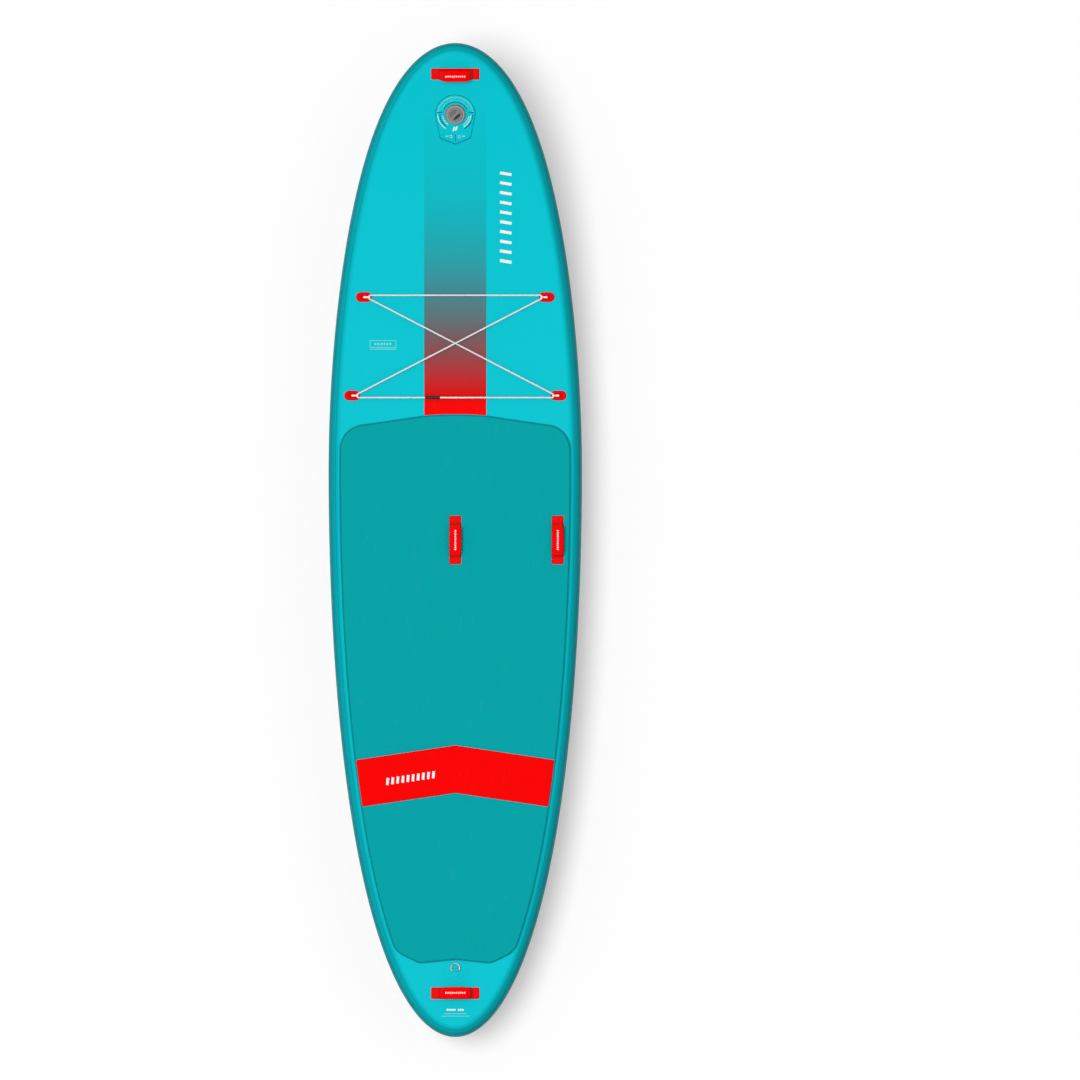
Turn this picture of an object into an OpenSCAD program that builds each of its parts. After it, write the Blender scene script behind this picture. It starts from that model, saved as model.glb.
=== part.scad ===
// Inflatable stand up paddleboard with its pads, handles, valve, bungee, rings and fins.
// The nose points along +Y, the deck faces +Z and starboard is +X.
// Z = 0 is the level of the side fins' tips.

/* [Board] */
// Length from tail to nose
board_l = 3200; // [3000:10:3400]
// Width over the rails
board_w = 816; // [760:2:860]
// Thickness of the inflated board
board_t = 150; // [130:1:160]
// Place of the widest station, ahead of the middle
widest_y = 220; // [150:5:280]
// Fullness added to the nose outline
nose_fullness = 0.104; // [0.06:0.002:0.14]
// Power of the nose fullness
nose_power = 3.09; // [2.5:0.01:3.6]
// Fullness added to the tail outline
tail_fullness = 0.095; // [0.06:0.005:0.12]
// Power of the tail fullness
tail_power = 2.03; // [1.8:0.01:2.4]
// Rise of the nose
nose_rise = 190; // [120:5:220]
// Length of the nose that rises
nose_rise_l = 1160; // [1155:1:1200]
// Rise of the tail
tail_rise = 20; // [5:1:35]
// Length of the tail that rises
tail_rise_l = 420; // [390:1:425]

/* [Rail] */
// Width that the rounded rail takes from the flat deck
rail_w = 40; // [34:1:46]
// Thickness of the rail's wall
rail_wall_t = 2; // [1.5:0.1:2.5]
// Thickness of the cover layer and of the stripe layer
rail_layer_t = 0.8; // [0.5:0.1:1.2]
// Angle round the rail at which the cover layer ends
cover_angle = 62; // [56:1:70]
// Angle round the rail at which the stripe ends
stripe_angle = 34; // [26:1:40]
// Thickness of the deck and hull skins
skin_t = 1.5; // [1:0.1:2]
// Thickness of the woven fabric under a skin
fabric_t = 1.2; // [0.8:0.1:1.6]
// Spacing of the drop threads shown
thread_step = 160; // [130:5:240]
// Radius of a drop thread
thread_r = 0.8; // [0.6:0.1:1.2]

/* [Pads] */
// Thickness of the foam pads
pad_t = 5; // [3:0.5:7]
// Gap between neighbouring pads
pad_gap = 3; // [1.5:0.5:5]
// Distance from the nose to the front pad on the centreline
pad_nose_gap = 1200; // [1180:1:1220]
// Fall of the front edge from the centreline to its corner
pad_front_fall = 33; // [20:1:45]
// Radius of the front pad's corner
pad_corner_r = 77; // [60:1:90]
// Distance from the tail to the chevron pad's front point
chevron_setback = 939; // [900:1:980]
// Length of the chevron pad along the board
chevron_l = 153.5; // [120:0.5:190]
// Slope of the chevron's edges, as a tangent
chevron_slope = 0.148; // [0.1:0.004:0.2]
// Distance from the tail to the rear pad on the centreline
pad_tail_gap = 253; // [251:1:265]
// Distance that the rear pad's tips reach behind its middle
pad_rear_drop = 12; // [6:1:16]
// Half distance between the rear pad's tips
pad_rear_x = 115; // [95:1:130]

/* [Handles] */
// Length of a handle's patch
handle_l = 156; // [150:1:166]
// Width of a handle's patch
handle_w = 38; // [36:1:42]
// Thickness of a handle's patch
handle_patch_t = 1; // [0.8:0.1:1.5]
// Width of the strap
strap_w = 32; // [28:1:34]
// Thickness of the strap
strap_t = 2.4; // [1.8:0.1:3]
// Distance from the patch's end to the strap's end
strap_margin = 2; // [1:0.5:4]
// Length of patch from its end to the strap's slope
strap_foot = 22; // [18:1:24]
// Length of the strap's slope at each end
strap_slope = 12; // [8:1:14]
// Height of the strap's top stretch above the patch
strap_h = 22; // [20:1:28]
// Foam thickness of the grip round the strap
grip_t = 3; // [2:0.2:4]
// Gap between the end of the grip and the strap's slope
grip_gap = 3; // [2:0.5:5]
// Gap round a handle's patch in the front pad
handle_gap = 1; // [0.5:0.5:2]
// Distance of the nose handle from the nose
nose_handle_setback = 100; // [95:1:101]
// Distance of the tail handle from the tail
tail_handle_setback = 141; // [138:1:144]
// Distance of the side handle from the outline's widest line
side_handle_inset = 78; // [75:1:93]

/* [Valve] */
// Distance of the valve from the nose
valve_setback = 229; // [226:1:232]
// Radius of the patch round the valve
valve_patch_r = 65; // [60:1:66]
// Half width of the patch's shoulders
valve_patch_shoulder = 49.5; // [42:0.5:55]
// Distance of the shoulders behind the valve
valve_patch_back = 78; // [72:1:84]
// Distance of the patch's point behind the valve
valve_patch_tip = 101.5; // [94:0.5:103]
// Thickness of the patches
patch_t = 1; // [0.6:0.1:1.4]
// Radius of the valve's flange
flange_r = 33; // [31:0.5:36]
// Thickness of the valve's flange
flange_t = 3; // [2:0.2:4]
// Thickness of the gasket under the flange
gasket_t = 1; // [0.6:0.1:1.6]
// Outer radius of the valve's barrel
barrel_r = 20; // [19:0.2:22]
// Radius of the inflation port
port_r = 17; // [16:0.1:17.4]
// How far the port's own bore reaches below the flange's underside
port_depth = 16; // [15:0.5:16.5]
// How much wider the barrel is below the port, on the radius
relief = 0.4; // [0.2:0.1:0.6]
// Depth of the plunger's button under the flange
button_depth = 17; // [16:0.5:18]
// How much wider the port's mouth is, where the cap's skirt goes
mouth_step = 0.6; // [0.4:0.1:0.9]
// Depth left under the cap's skirt in the port's mouth
mouth_gap = 0.5; // [0.3:0.1:1]
// Depth of the barrel with its seat
barrel_depth = 38; // [37:0.5:42]
// Thickness of the seat ring
seat_t = 4; // [3:0.5:5]
// Radius of the opening in the seat ring
seat_r = 12; // [11:0.2:12.5]
// Radius of the plunger's stem
stem_r = 3; // [2.6:0.1:3.2]
// Running clearance of the stem in its guide
stem_clear = 0.05; // [0.03:0.01:0.09]
// Height of the stem's guide
guide_h = 6; // [5:0.5:7]
// Width of a spoke that carries the guide
spoke_w = 2.4; // [1.8:0.2:3]
// Height of a spoke
spoke_h = 4; // [3:0.5:4.5]
// Wall of the stem's guide
guide_wall = 2; // [1.8:0.1:2.4]
// Clearance of the spokes in the barrel
spoke_clear = 0.2; // [0.1:0.05:0.4]
// Radius of the plunger's button
button_r = 6; // [5.6:0.1:7]
// Thickness of the plunger's button
button_t = 2; // [1.6:0.1:2.5]
// Radius of the plunger's disc
disc_r = 14; // [13.4:0.1:15]
// Thickness of the plunger's disc
disc_t = 2.5; // [2:0.1:3]
// Thickness of the seal on the disc
disc_seal_t = 1.5; // [1:0.1:2]
// Radius of the spring's wire
wire_r = 0.5; // [0.4:0.05:0.55]
// Turns of the spring
spring_turns = 3; // [2:1:3]
// Outer radius of the nut inside the board
nut_r = 31; // [28:0.5:33]
// Thickness of the nut
nut_t = 6; // [5:0.5:8]
// Radial gap of the nut and of the deck's hole on the barrel
barrel_gap = 0.2; // [0.1:0.05:0.4]
// Radius of the cap
cap_r = 30.5; // [29:0.5:32]
// Thickness of the cap's rim
cap_t = 4; // [3:0.5:5]
// Radius of the cap's raised middle
cap_hub_r = 22.5; // [20:0.5:25]
// Height of the cap's raised middle
cap_hub_h = 5; // [4:0.5:7]
// Width of the cap's grip bar
cap_bar_w = 8; // [6:0.5:10]
// Clearance of the cap's skirt in the port's mouth
skirt_clear = 0.3; // [0.15:0.05:0.45]
// Depth of the cap's skirt
skirt_depth = 2.8; // [2.2:0.2:3.2]
// Wall of the cap's skirt
skirt_wall = 2; // [1.5:0.1:2.5]
// Thickness of the cap's seal
cap_seal_t = 1; // [0.8:0.1:1.5]

/* [Bungee] */
// Distance of the front anchors from the outline
front_anchor_inset = 81; // [77:1:90]
// Distance of the front anchors from the nose
front_anchor_setback = 818; // [800:1:840]
// Distance of the rear anchors from the outline
rear_anchor_inset = 70; // [68:1:80]
// Distance of the rear anchors from the nose
rear_anchor_setback = 1135; // [1128:1:1137]
// Length of an anchor pad
anchor_l = 52; // [48:1:54]
// Width of an anchor pad
anchor_w = 32; // [28:1:34]
// Thickness of an anchor pad
anchor_t = 3; // [2.5:0.1:4]
// Width of the rim round the recess in an anchor pad
anchor_rim = 4; // [3:0.5:6]
// Depth of the recess in an anchor pad
anchor_recess = 1.5; // [1:0.1:2]
// Radius of the cord
cord_r = 2.75; // [2.5:0.05:2.9]
// Radius of the cord's bend at an anchor
cord_bend_r = 6.5; // [6.2:0.1:7.5]
// Distance from an anchor's middle to its cord bend's centre
cord_bend_x = 22; // [20:0.5:24]
// Half of the cords' spacing where they cross
cord_cross = 3.2; // [3.1:0.1:4]
// Width of an anchor's tab
tab_w = 6; // [5:0.5:6.5]
// Thickness of the webbing of a tab
tab_t = 1.2; // [1:0.1:1.6]
// Clearance of the cord in a tab's loop
tab_clear = 0.95; // [0.9:0.05:1]
// Length of a tab's tail
tab_tail = 18; // [14:1:20]
// Length of the cord's joiner
joiner_l = 48; // [40:1:56]
// Radius of the cord's joiner
joiner_r = 5; // [4.5:0.1:6]
// Place of the joiner on the rear run
joiner_x = -73.5; // [-120:0.5:-40]
// Clearance of the cord in its joiner
joiner_clear = 0.2; // [0.1:0.05:0.3]

/* [Rings] */
// Distance of the tail ring's patch from the tail
tail_ring_setback = 208; // [206:1:210]
// Distance of the nose ring's patch from the nose, on the hull
nose_ring_setback = 67; // [64:1:70]
// Radius of a ring's patch
ring_patch_r = 39; // [36:0.5:39.5]
// Height of the raised middle of a ring's patch
ring_step_t = 0.8; // [0.5:0.1:1.2]
// Radius of the raised middle of a ring's patch
ring_step_r = 27.5; // [25:0.5:30]
// Half width of a ring, between the middles of its wire
ring_half = 14; // [13.5:0.1:16]
// Radius of a ring's wire
ring_wire_r = 2.5; // [2:0.1:2.6]
// Bend radius at a ring's corners
ring_corner_r = 3.5; // [3:0.1:3.5]
// Length of a ring's straight sides, with its corners
ring_side = 7; // [5:0.2:9]
// Thickness of the webbing round a ring
ring_web_t = 1.2; // [1:0.1:1.6]
// Length of the webbing's tail
ring_tail = 20; // [16:1:22]
// How far the tail ring's webbing stands ahead of its patch's middle
ring_shift = 7; // [0:0.5:7]
// Clearance of a ring in its webbing and over its patch
ring_clear = 0.3; // [0.25:0.05:0.4]

/* [Nose patch] */
// Half width of the patch under the nose
nose_patch_half = 100; // [85:1:110]
// Length of the patch under the nose
nose_patch_l = 311; // [290:1:330]
// Thickness of the patch under the nose
nose_patch_t = 0.8; // [0.6:0.1:1.2]

/* [Fins] */
// Distance of the centre fin's middle from the tail
centre_fin_setback = 212; // [210:1:214]
// Distance of the side fins' middle from the tail
side_fin_setback = 526; // [522:1:560]
// Distance of the side fins from the centreline
side_fin_x = 157; // [140:1:175]
// Angle that the side fins point inward at the nose end
side_fin_toe = 1.3; // [0:0.1:3]
// Length of a fin's base
fin_base_l = 195; // [185:1:200]
// Width of a fin's base
fin_base_w = 64; // [58:1:70]
// Height of each step of a fin's base
fin_step = 3; // [2:0.2:4]
// Depth of a fin below the hull
fin_depth = 100; // [85:1:125]
// Thickness of a fin at its root
fin_root_t = 9; // [8:0.2:11]
// Thickness of a fin at its tip
fin_tip_t = 4; // [3:0.2:6]
// Distance from the base's front to the fin's front
fin_setback = 25; // [20:1:35]
// Sweep of the fin's leading edge
fin_sweep = 164; // [150:1:166]

/* [Hidden] */
$fn = 64;

turquoise = [0.03, 0.78, 0.82];
teal = [0.03, 0.64, 0.66];
red = [0.9, 0.05, 0.05];
grey = [0.62, 0.6, 0.58];
black = [0.08, 0.08, 0.08];
white = [0.92, 0.92, 0.9];

half_l = board_l / 2;
half_w = board_w / 2;
hull_z = fin_depth;
deck_z = hull_z + board_t;
mid_z = hull_z + board_t / 2;

// Places along the board, each kept at its distance from the nose or the tail
nose_start = half_l - nose_rise_l;
tail_start = tail_rise_l - half_l;
pad_front_y = half_l - pad_nose_gap;
chevron_y = chevron_setback - half_l;
pad_rear_y = pad_tail_gap - half_l;
nose_handle_y = half_l - nose_handle_setback;
tail_handle_y = tail_handle_setback - half_l;
valve_y = half_l - valve_setback;
front_anchor_y = half_l - front_anchor_setback;
rear_anchor_y = half_l - rear_anchor_setback;
tail_ring_y = tail_ring_setback - half_l;
nose_ring_y = half_l - nose_ring_setback;
nose_patch_y = half_l - nose_patch_l;
centre_fin_y = centre_fin_setback - half_l;
side_fin_y = side_fin_setback - half_l;

// Margin of flat surface left round whatever is seated on the rocker
seat_margin = 10;

// ---- Shape of the board ----

// Rise of the board's bottom at a station, before it is broken into flats
function rise(y) =
    y > nose_start ? nose_rise * pow((y - nose_start) / (half_l - nose_start), 2)
    : y < tail_start ? tail_rise * pow((tail_start - y) / (half_l + tail_start), 2)
    : 0;

// Stations between two ends, without the ends
function between(a, b, n) = [for (i = [1 : n]) a + (b - a) * i / (n + 1)];

// The board's profile is straight between these stations, and each fitting sits on one flat
valve_seat_rear = valve_y - valve_patch_tip - seat_margin;
valve_seat_front = valve_y + valve_patch_r + seat_margin;
handle_seat_rear = nose_handle_y - handle_w / 2 - seat_margin / 2;
stations = concat(
    [-half_l, centre_fin_y - fin_base_l / 2 - seat_margin, centre_fin_y + fin_base_l / 2 + seat_margin],
    [tail_start, nose_start, rear_anchor_y + anchor_w + seat_margin / 2],
    between(rear_anchor_y + anchor_w, front_anchor_y - anchor_w, 1),
    [front_anchor_y - anchor_w, front_anchor_y + anchor_w],
    between(front_anchor_y + anchor_w, valve_seat_rear, 3),
    [valve_seat_rear, valve_seat_front, handle_seat_rear, half_l]
);
profile = [for (y = stations) [y, rise(y)]];

// Height of the flats at a station, and their slope there
function height_at(y) = lookup(y, profile);
function slope_at(y) = atan(height_at(y + 0.5) - height_at(y - 0.5));

// Outline of the starboard side, from the tail at -90 degrees to the nose at 90
side_steps = 48;
function outline_angle(k) = -90 + 180 * k / side_steps;
function outline_point(a) =
    let (s = abs(sin(a)), nose = a > 0)
    [half_w * cos(a) * (1 + (nose ? nose_fullness : tail_fullness) * pow(s, nose ? nose_power : tail_power)),
     widest_y + (nose ? half_l - widest_y : half_l + widest_y) * sin(a)];
// Half width of the outline at a station
function half_width_at(y) =
    outline_point(asin(max(-1, min(1, (y - widest_y) / (half_l + (y > widest_y ? -widest_y : widest_y)))))).x;
function outline_normal(a) =
    let (t = outline_point(a + 0.05) - outline_point(a - 0.05))
    [t.y, -t.x] / norm(t);
// The middle of the rail's rounding, with both ends exactly on the centreline
function rail_centre(k, inset) =
    let (p = outline_point(outline_angle(k)) - inset * outline_normal(outline_angle(k)))
    [k == 0 || k == side_steps ? 0 : p.x, p.y];
function outline(inset) = concat(
    [for (k = [0 : side_steps]) rail_centre(k, inset)],
    [for (k = [side_steps - 1 : -1 : 1]) [-rail_centre(k, inset).x, rail_centre(k, inset).y]]
);

// A sheet that follows the profile, between two heights above the hull's surface
module band(low, high) {
    translate([-half_w, 0, hull_z])
        rotate([90, 0, 90])
            linear_extrude(board_w)
                polygon(concat(
                    [for (p = profile) [p[0], p[1] + low]],
                    [for (i = [len(profile) - 1 : -1 : 0]) [profile[i][0], profile[i][1] + high]]
                ));
}

// An upright block of a plan shape, tall enough for the whole board
module plan_block() {
    linear_extrude(hull_z + 2 * board_t + nose_rise) children();
}

module sheet(low, high, inset) {
    intersection() {
        plan_block() polygon(outline(inset));
        band(low, high);
    }
}

// Places on the deck and on the hull, tilted with the board; on the hull +Z points down and out
module on_deck(x, y) {
    translate([x, y, deck_z + height_at(y)]) rotate([slope_at(y), 0, 0]) children();
}
module on_hull(x, y) {
    translate([x, y, hull_z + height_at(y)]) rotate([slope_at(y), 0, 0]) rotate([0, 180, 0]) children();
}
// A point at a height above the deck, square to it
function deck_point(x, y, h) =
    let (a = slope_at(y))
    [x, y - h * sin(a), deck_z + height_at(y) + h * cos(a)];

// ---- Rails ----

// Angles round the rail, from hull to deck, with a corner at each layer's edge
half_angles = [0, stripe_angle / 2, stripe_angle, (stripe_angle + cover_angle) / 2, cover_angle,
    (cover_angle + 90) / 2, 90];
rail_angles = concat([for (i = [6 : -1 : 1]) -half_angles[i]], half_angles);

// A layer of the starboard rail: from angle number first to last, between two ellipses
module rail_layer(first, last, outer_a, outer_b, inner_a, inner_b) {
    n = last - first + 1;
    grid = (side_steps + 1) * n;
    function layer_points(a, b) = [
        for (k = [0 : side_steps], j = [first : last])
            let (c = rail_centre(k, rail_w), dir = outline_normal(outline_angle(k)),
                reach = a * cos(rail_angles[j]), end = k == 0 || k == side_steps,
                x = end ? 0 : c.x + reach * dir.x, y = c.y + reach * dir.y)
            [x, y, mid_z + height_at(y) + b * sin(rail_angles[j])]
    ];
    function at(layer, k, j) = layer * grid + k * n + j;
    faces = concat(
        [for (k = [0 : side_steps - 1], j = [0 : n - 2], t = [0, 1])
            t == 0 ? [at(0, k, j), at(0, k, j + 1), at(0, k + 1, j + 1)]
                : [at(0, k, j), at(0, k + 1, j + 1), at(0, k + 1, j)]],
        [for (k = [0 : side_steps - 1], j = [0 : n - 2], t = [0, 1])
            t == 0 ? [at(1, k, j), at(1, k + 1, j + 1), at(1, k, j + 1)]
                : [at(1, k, j), at(1, k + 1, j), at(1, k + 1, j + 1)]],
        [for (k = [0 : side_steps - 1], t = [0, 1])
            t == 0 ? [at(0, k, 0), at(0, k + 1, 0), at(1, k + 1, 0)]
                : [at(0, k, 0), at(1, k + 1, 0), at(1, k, 0)]],
        [for (k = [0 : side_steps - 1], t = [0, 1])
            t == 0 ? [at(0, k, n - 1), at(1, k + 1, n - 1), at(0, k + 1, n - 1)]
                : [at(0, k, n - 1), at(1, k, n - 1), at(1, k + 1, n - 1)]],
        [for (j = [0 : n - 2], t = [0, 1])
            t == 0 ? [at(0, 0, j), at(1, 0, j), at(1, 0, j + 1)]
                : [at(0, 0, j), at(1, 0, j + 1), at(0, 0, j + 1)]],
        [for (j = [0 : n - 2], t = [0, 1])
            t == 0 ? [at(0, side_steps, j), at(1, side_steps, j + 1), at(1, side_steps, j)]
                : [at(0, side_steps, j), at(0, side_steps, j + 1), at(1, side_steps, j + 1)]]
    );
    polyhedron(points = concat(layer_points(outer_a, outer_b), layer_points(inner_a, inner_b)), faces = faces);
}

// Half width and half height of the wall's outer surface; each layer lies on the one before
wall_a = rail_w - 2 * rail_layer_t;
wall_b = board_t / 2;
module rail_wall() {
    rail_layer(0, 12, wall_a, wall_b, wall_a - rail_wall_t, wall_b - rail_wall_t);
}
module rail_cover() {
    rail_layer(2, 10, wall_a + rail_layer_t, wall_b + rail_layer_t, wall_a, wall_b);
}
module rail_stripe() {
    rail_layer(4, 8, rail_w, wall_b + 2 * rail_layer_t, wall_a + rail_layer_t, wall_b + rail_layer_t);
}
module rail_wall_starboard() { color(teal) rail_wall(); }
module rail_wall_port() { color(teal) mirror([1, 0, 0]) rail_wall(); }
module rail_cover_starboard() { color(turquoise) rail_cover(); }
module rail_cover_port() { color(turquoise) mirror([1, 0, 0]) rail_cover(); }
module rail_stripe_starboard() { color(turquoise) rail_stripe(); }
module rail_stripe_port() { color(turquoise) mirror([1, 0, 0]) rail_stripe(); }

// ---- Core and skins ----

// Heights of the valve's frame above the deck, along the valve's axis
valve_base = patch_t + gasket_t;
module valve_hole() {
    on_deck(0, valve_y)
        translate([0, 0, -barrel_depth]) cylinder(r = barrel_r + barrel_gap, h = 2 * barrel_depth);
}
module deck_skin() {
    color(turquoise) difference() {
        sheet(board_t - skin_t, board_t, rail_w);
        valve_hole();
    }
}
module hull_skin() { color(teal) sheet(0, skin_t, rail_w); }

// The fabrics stop short of the rail's wall where the wall is thicker than the skin
fabric_inset = rail_w + rail_wall_t;
module deck_fabric() {
    color(white) difference() {
        sheet(board_t - skin_t - fabric_t, board_t - skin_t, fabric_inset);
        valve_hole();
    }
}
module hull_fabric() { color(white) sheet(skin_t, skin_t + fabric_t, fabric_inset); }

// Half width that the threads spread over at a station
function core_half(y) = half_width_at(y) - 1.6 * rail_w;
thread_rows = floor((half_l - 2 * rail_w) / thread_step);
module drop_threads() {
    color(white) intersection() {
        union() {
            for (j = [-thread_rows : thread_rows]) {
                y = j * thread_step;
                columns = floor(core_half(y) / thread_step) + 1;
                for (i = [-columns : columns])
                    if (norm([i * core_half(y) / columns, y - valve_y]) > 2 * nut_r)
                        translate([i * core_half(y) / columns, y, 0])
                            cylinder(r = thread_r, h = deck_z + 2 * nose_rise, $fn = 16);
            }
        }
        band(skin_t + fabric_t, board_t - skin_t - fabric_t);
    }
}

// ---- Foam pads ----

// Front edge of the front pad: a shallow arch and a round corner on each side
pad_corner_x = half_width_at(pad_front_y - pad_front_fall - pad_corner_r) - rail_w - pad_corner_r;
pad_front_side = [
    for (a = [0 : 10 : 80])
        [pad_corner_x + pad_corner_r * cos(a), pad_front_y - pad_front_fall - pad_corner_r + pad_corner_r * sin(a)]
];
pad_front_edge = concat(
    [[half_w, pad_front_y - pad_front_fall - pad_corner_r - rail_w]],
    pad_front_side,
    [for (x = [nose_patch_half, nose_patch_half / 2, 0, -nose_patch_half / 2, -nose_patch_half])
        [x, pad_front_y - pow(x / nose_patch_half, 2) * pad_front_fall / 8]],
    [for (i = [len(pad_front_side) - 1 : -1 : 0]) [-pad_front_side[i].x, pad_front_side[i].y]],
    [[-half_w, pad_front_y - pad_front_fall - pad_corner_r - rail_w]]
);
// The chevron's edge at an offset from its front point
function chevron_edge(y) = [[-half_w, y - chevron_slope * half_w], [0, y], [half_w, y - chevron_slope * half_w]];
pad_rear_slope = 0.5;
pad_rear_edge = [
    [-half_w, pad_rear_y - pad_rear_drop + pad_rear_slope * (half_w - pad_rear_x)],
    [-pad_rear_x, pad_rear_y - pad_rear_drop],
    [0, pad_rear_y],
    [pad_rear_x, pad_rear_y - pad_rear_drop],
    [half_w, pad_rear_y - pad_rear_drop + pad_rear_slope * (half_w - pad_rear_x)]
];
module pad(edges) {
    intersection() {
        plan_block() polygon(edges);
        sheet(board_t, board_t + pad_t, rail_w);
    }
}
side_handle_x = half_w - side_handle_inset;
module handle_window(x, y) {
    translate([x, y, deck_z])
        cube([handle_w + 2 * handle_gap, handle_l + 2 * handle_gap, 4 * pad_t], center = true);
}
module front_pad() {
    color(teal) difference() {
        pad(concat(chevron_edge(chevron_y + pad_gap), pad_front_edge));
        handle_window(0, 0);
        handle_window(side_handle_x, 0);
    }
}
module chevron_pad() {
    color(red) pad(concat(chevron_edge(chevron_y - chevron_l),
        [for (i = [2 : -1 : 0]) chevron_edge(chevron_y)[i]]));
}
module rear_pad() {
    color(teal) pad(concat(pad_rear_edge,
        [for (i = [2 : -1 : 0]) chevron_edge(chevron_y - chevron_l - pad_gap)[i]]));
}

// ---- Handles, lying along X ----

// Side view of the strap at a height above its own underside
strap_bend = handle_l / 2 - strap_foot;
strap_top = strap_bend - strap_slope;
function strap_line(h) = [
    [-handle_l / 2 + strap_margin, h], [-strap_bend, h], [-strap_top, strap_h + h],
    [strap_top, strap_h + h], [strap_bend, h], [handle_l / 2 - strap_margin, h]
];
grip_half = strap_top - grip_gap;
module handle_patch() {
    color(red) translate([-handle_l / 2, -handle_w / 2, 0]) cube([handle_l, handle_w, handle_patch_t]);
}
module handle_strap() {
    low = strap_line(0);
    high = strap_line(strap_t);
    color(red) translate([0, strap_w / 2, handle_patch_t]) rotate([90, 0, 0]) linear_extrude(strap_w)
        polygon(concat(low, [for (i = [5 : -1 : 0]) high[i]]));
}
module handle_grip() {
    core = strap_t + 2 * grip_t;
    color(red) translate([-grip_half, 0, handle_patch_t + strap_h + strap_t / 2]) difference() {
        union() {
            translate([0, -handle_w / 2 + core / 2, -core / 2]) cube([2 * grip_half, handle_w - core, core]);
            for (s = [-1, 1])
                translate([0, s * (handle_w - core) / 2, 0]) rotate([0, 90, 0]) cylinder(d = core, h = 2 * grip_half);
        }
        translate([-1, -strap_w / 2, -strap_t / 2]) cube([2 * grip_half + 2, strap_w, strap_t]);
    }
}
module at_nose_handle() { on_deck(0, nose_handle_y) children(); }
module at_tail_handle() { on_deck(0, tail_handle_y) children(); }
module at_centre_handle() { on_deck(0, 0) rotate([0, 0, 90]) children(); }
module at_side_handle() { on_deck(side_handle_x, 0) rotate([0, 0, 90]) children(); }

module nose_handle_patch() { at_nose_handle() handle_patch(); }
module nose_handle_strap() { at_nose_handle() handle_strap(); }
module nose_handle_grip() { at_nose_handle() handle_grip(); }
module centre_handle_patch() { at_centre_handle() handle_patch(); }
module centre_handle_strap() { at_centre_handle() handle_strap(); }
module centre_handle_grip() { at_centre_handle() handle_grip(); }
module side_handle_patch() { at_side_handle() handle_patch(); }
module side_handle_strap() { at_side_handle() handle_strap(); }
module side_handle_grip() { at_side_handle() handle_grip(); }
module tail_handle_patch() { at_tail_handle() handle_patch(); }
module tail_handle_strap() { at_tail_handle() handle_strap(); }
module tail_handle_grip() { at_tail_handle() handle_grip(); }

// ---- Valve; z = 0 is the underside of its flange ----

module at_valve() { on_deck(0, valve_y) translate([0, 0, valve_base]) children(); }

module valve_patch() {
    color(turquoise) on_deck(0, valve_y) difference() {
        union() {
            cylinder(r = valve_patch_r, h = patch_t);
            linear_extrude(patch_t) polygon([
                [valve_patch_r, 0], [-valve_patch_r, 0], [-valve_patch_shoulder, -valve_patch_back],
                [0, -valve_patch_tip], [valve_patch_shoulder, -valve_patch_back]
            ]);
        }
        translate([0, 0, -1]) cylinder(r = barrel_r + barrel_gap, h = patch_t + 2);
    }
}
// Distance that the gasket and the cap's seal stay inside the piece over them
seal_margin = 1;
module valve_gasket() {
    color(black) at_valve() translate([0, 0, -gasket_t]) difference() {
        cylinder(r = flange_r - seal_margin, h = gasket_t);
        translate([0, 0, -1]) cylinder(r = barrel_r + barrel_gap, h = gasket_t + 2);
    }
}
mouth_r = port_r + mouth_step;
skirt_r = mouth_r - skirt_clear;
mouth_floor = flange_t - skirt_depth - mouth_gap;
guide_r = stem_r + stem_clear + guide_wall;
guide_z = -barrel_depth + seat_t;
module valve_body() {
    color(grey) at_valve() difference() {
        union() {
            cylinder(r = flange_r, h = flange_t);
            translate([0, 0, guide_z]) cylinder(r = barrel_r, h = flange_t - guide_z);
        }
        translate([0, 0, mouth_floor]) cylinder(r = mouth_r, h = flange_t - mouth_floor + 1);
        translate([0, 0, -port_depth]) cylinder(r = port_r, h = port_depth);
        translate([0, 0, guide_z - 1]) cylinder(r = port_r + relief, h = -port_depth - guide_z + 1);
    }
}
// The ring under the barrel, with three spokes that carry the stem's guide
module valve_seat() {
    color(grey) at_valve() {
        difference() {
            translate([0, 0, -barrel_depth]) cylinder(r = barrel_r, h = seat_t);
            translate([0, 0, -barrel_depth - 1]) cylinder(r = seat_r, h = seat_t + 2);
        }
        difference() {
            union() {
                translate([0, 0, guide_z]) cylinder(r = guide_r, h = guide_h);
                for (a = [0, 120, 240])
                    rotate([0, 0, a]) translate([guide_r - 1, -spoke_w / 2, guide_z])
                        cube([port_r - spoke_clear - guide_r + 1, spoke_w, spoke_h]);
            }
            translate([0, 0, guide_z - 1]) cylinder(r = stem_r + stem_clear, h = guide_h + 2);
        }
    }
}
// The nut bears on the underside of the deck's fabric
nut_z = -valve_base - (skin_t + fabric_t) * cos(slope_at(valve_y)) - nut_t;
module valve_nut() {
    color(grey) at_valve() translate([0, 0, nut_z]) difference() {
        union() {
            cylinder(r = nut_r, h = nut_t);
            for (a = [0 : 30 : 330]) rotate([0, 0, a]) translate([nut_r - 2, -3, 0]) cube([3.5, 6, nut_t]);
        }
        translate([0, 0, -1]) cylinder(r = barrel_r + barrel_gap, h = nut_t + 2);
    }
}
button_z = -button_depth - button_t;
disc_z = -barrel_depth - disc_seal_t - disc_t;
module valve_plunger() {
    color(white) at_valve() {
        translate([0, 0, disc_z]) cylinder(r = stem_r, h = button_z + button_t - disc_z);
        translate([0, 0, button_z]) cylinder(r = button_r, h = button_t);
        translate([0, 0, disc_z]) cylinder(r = disc_r, h = disc_t);
    }
}
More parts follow.
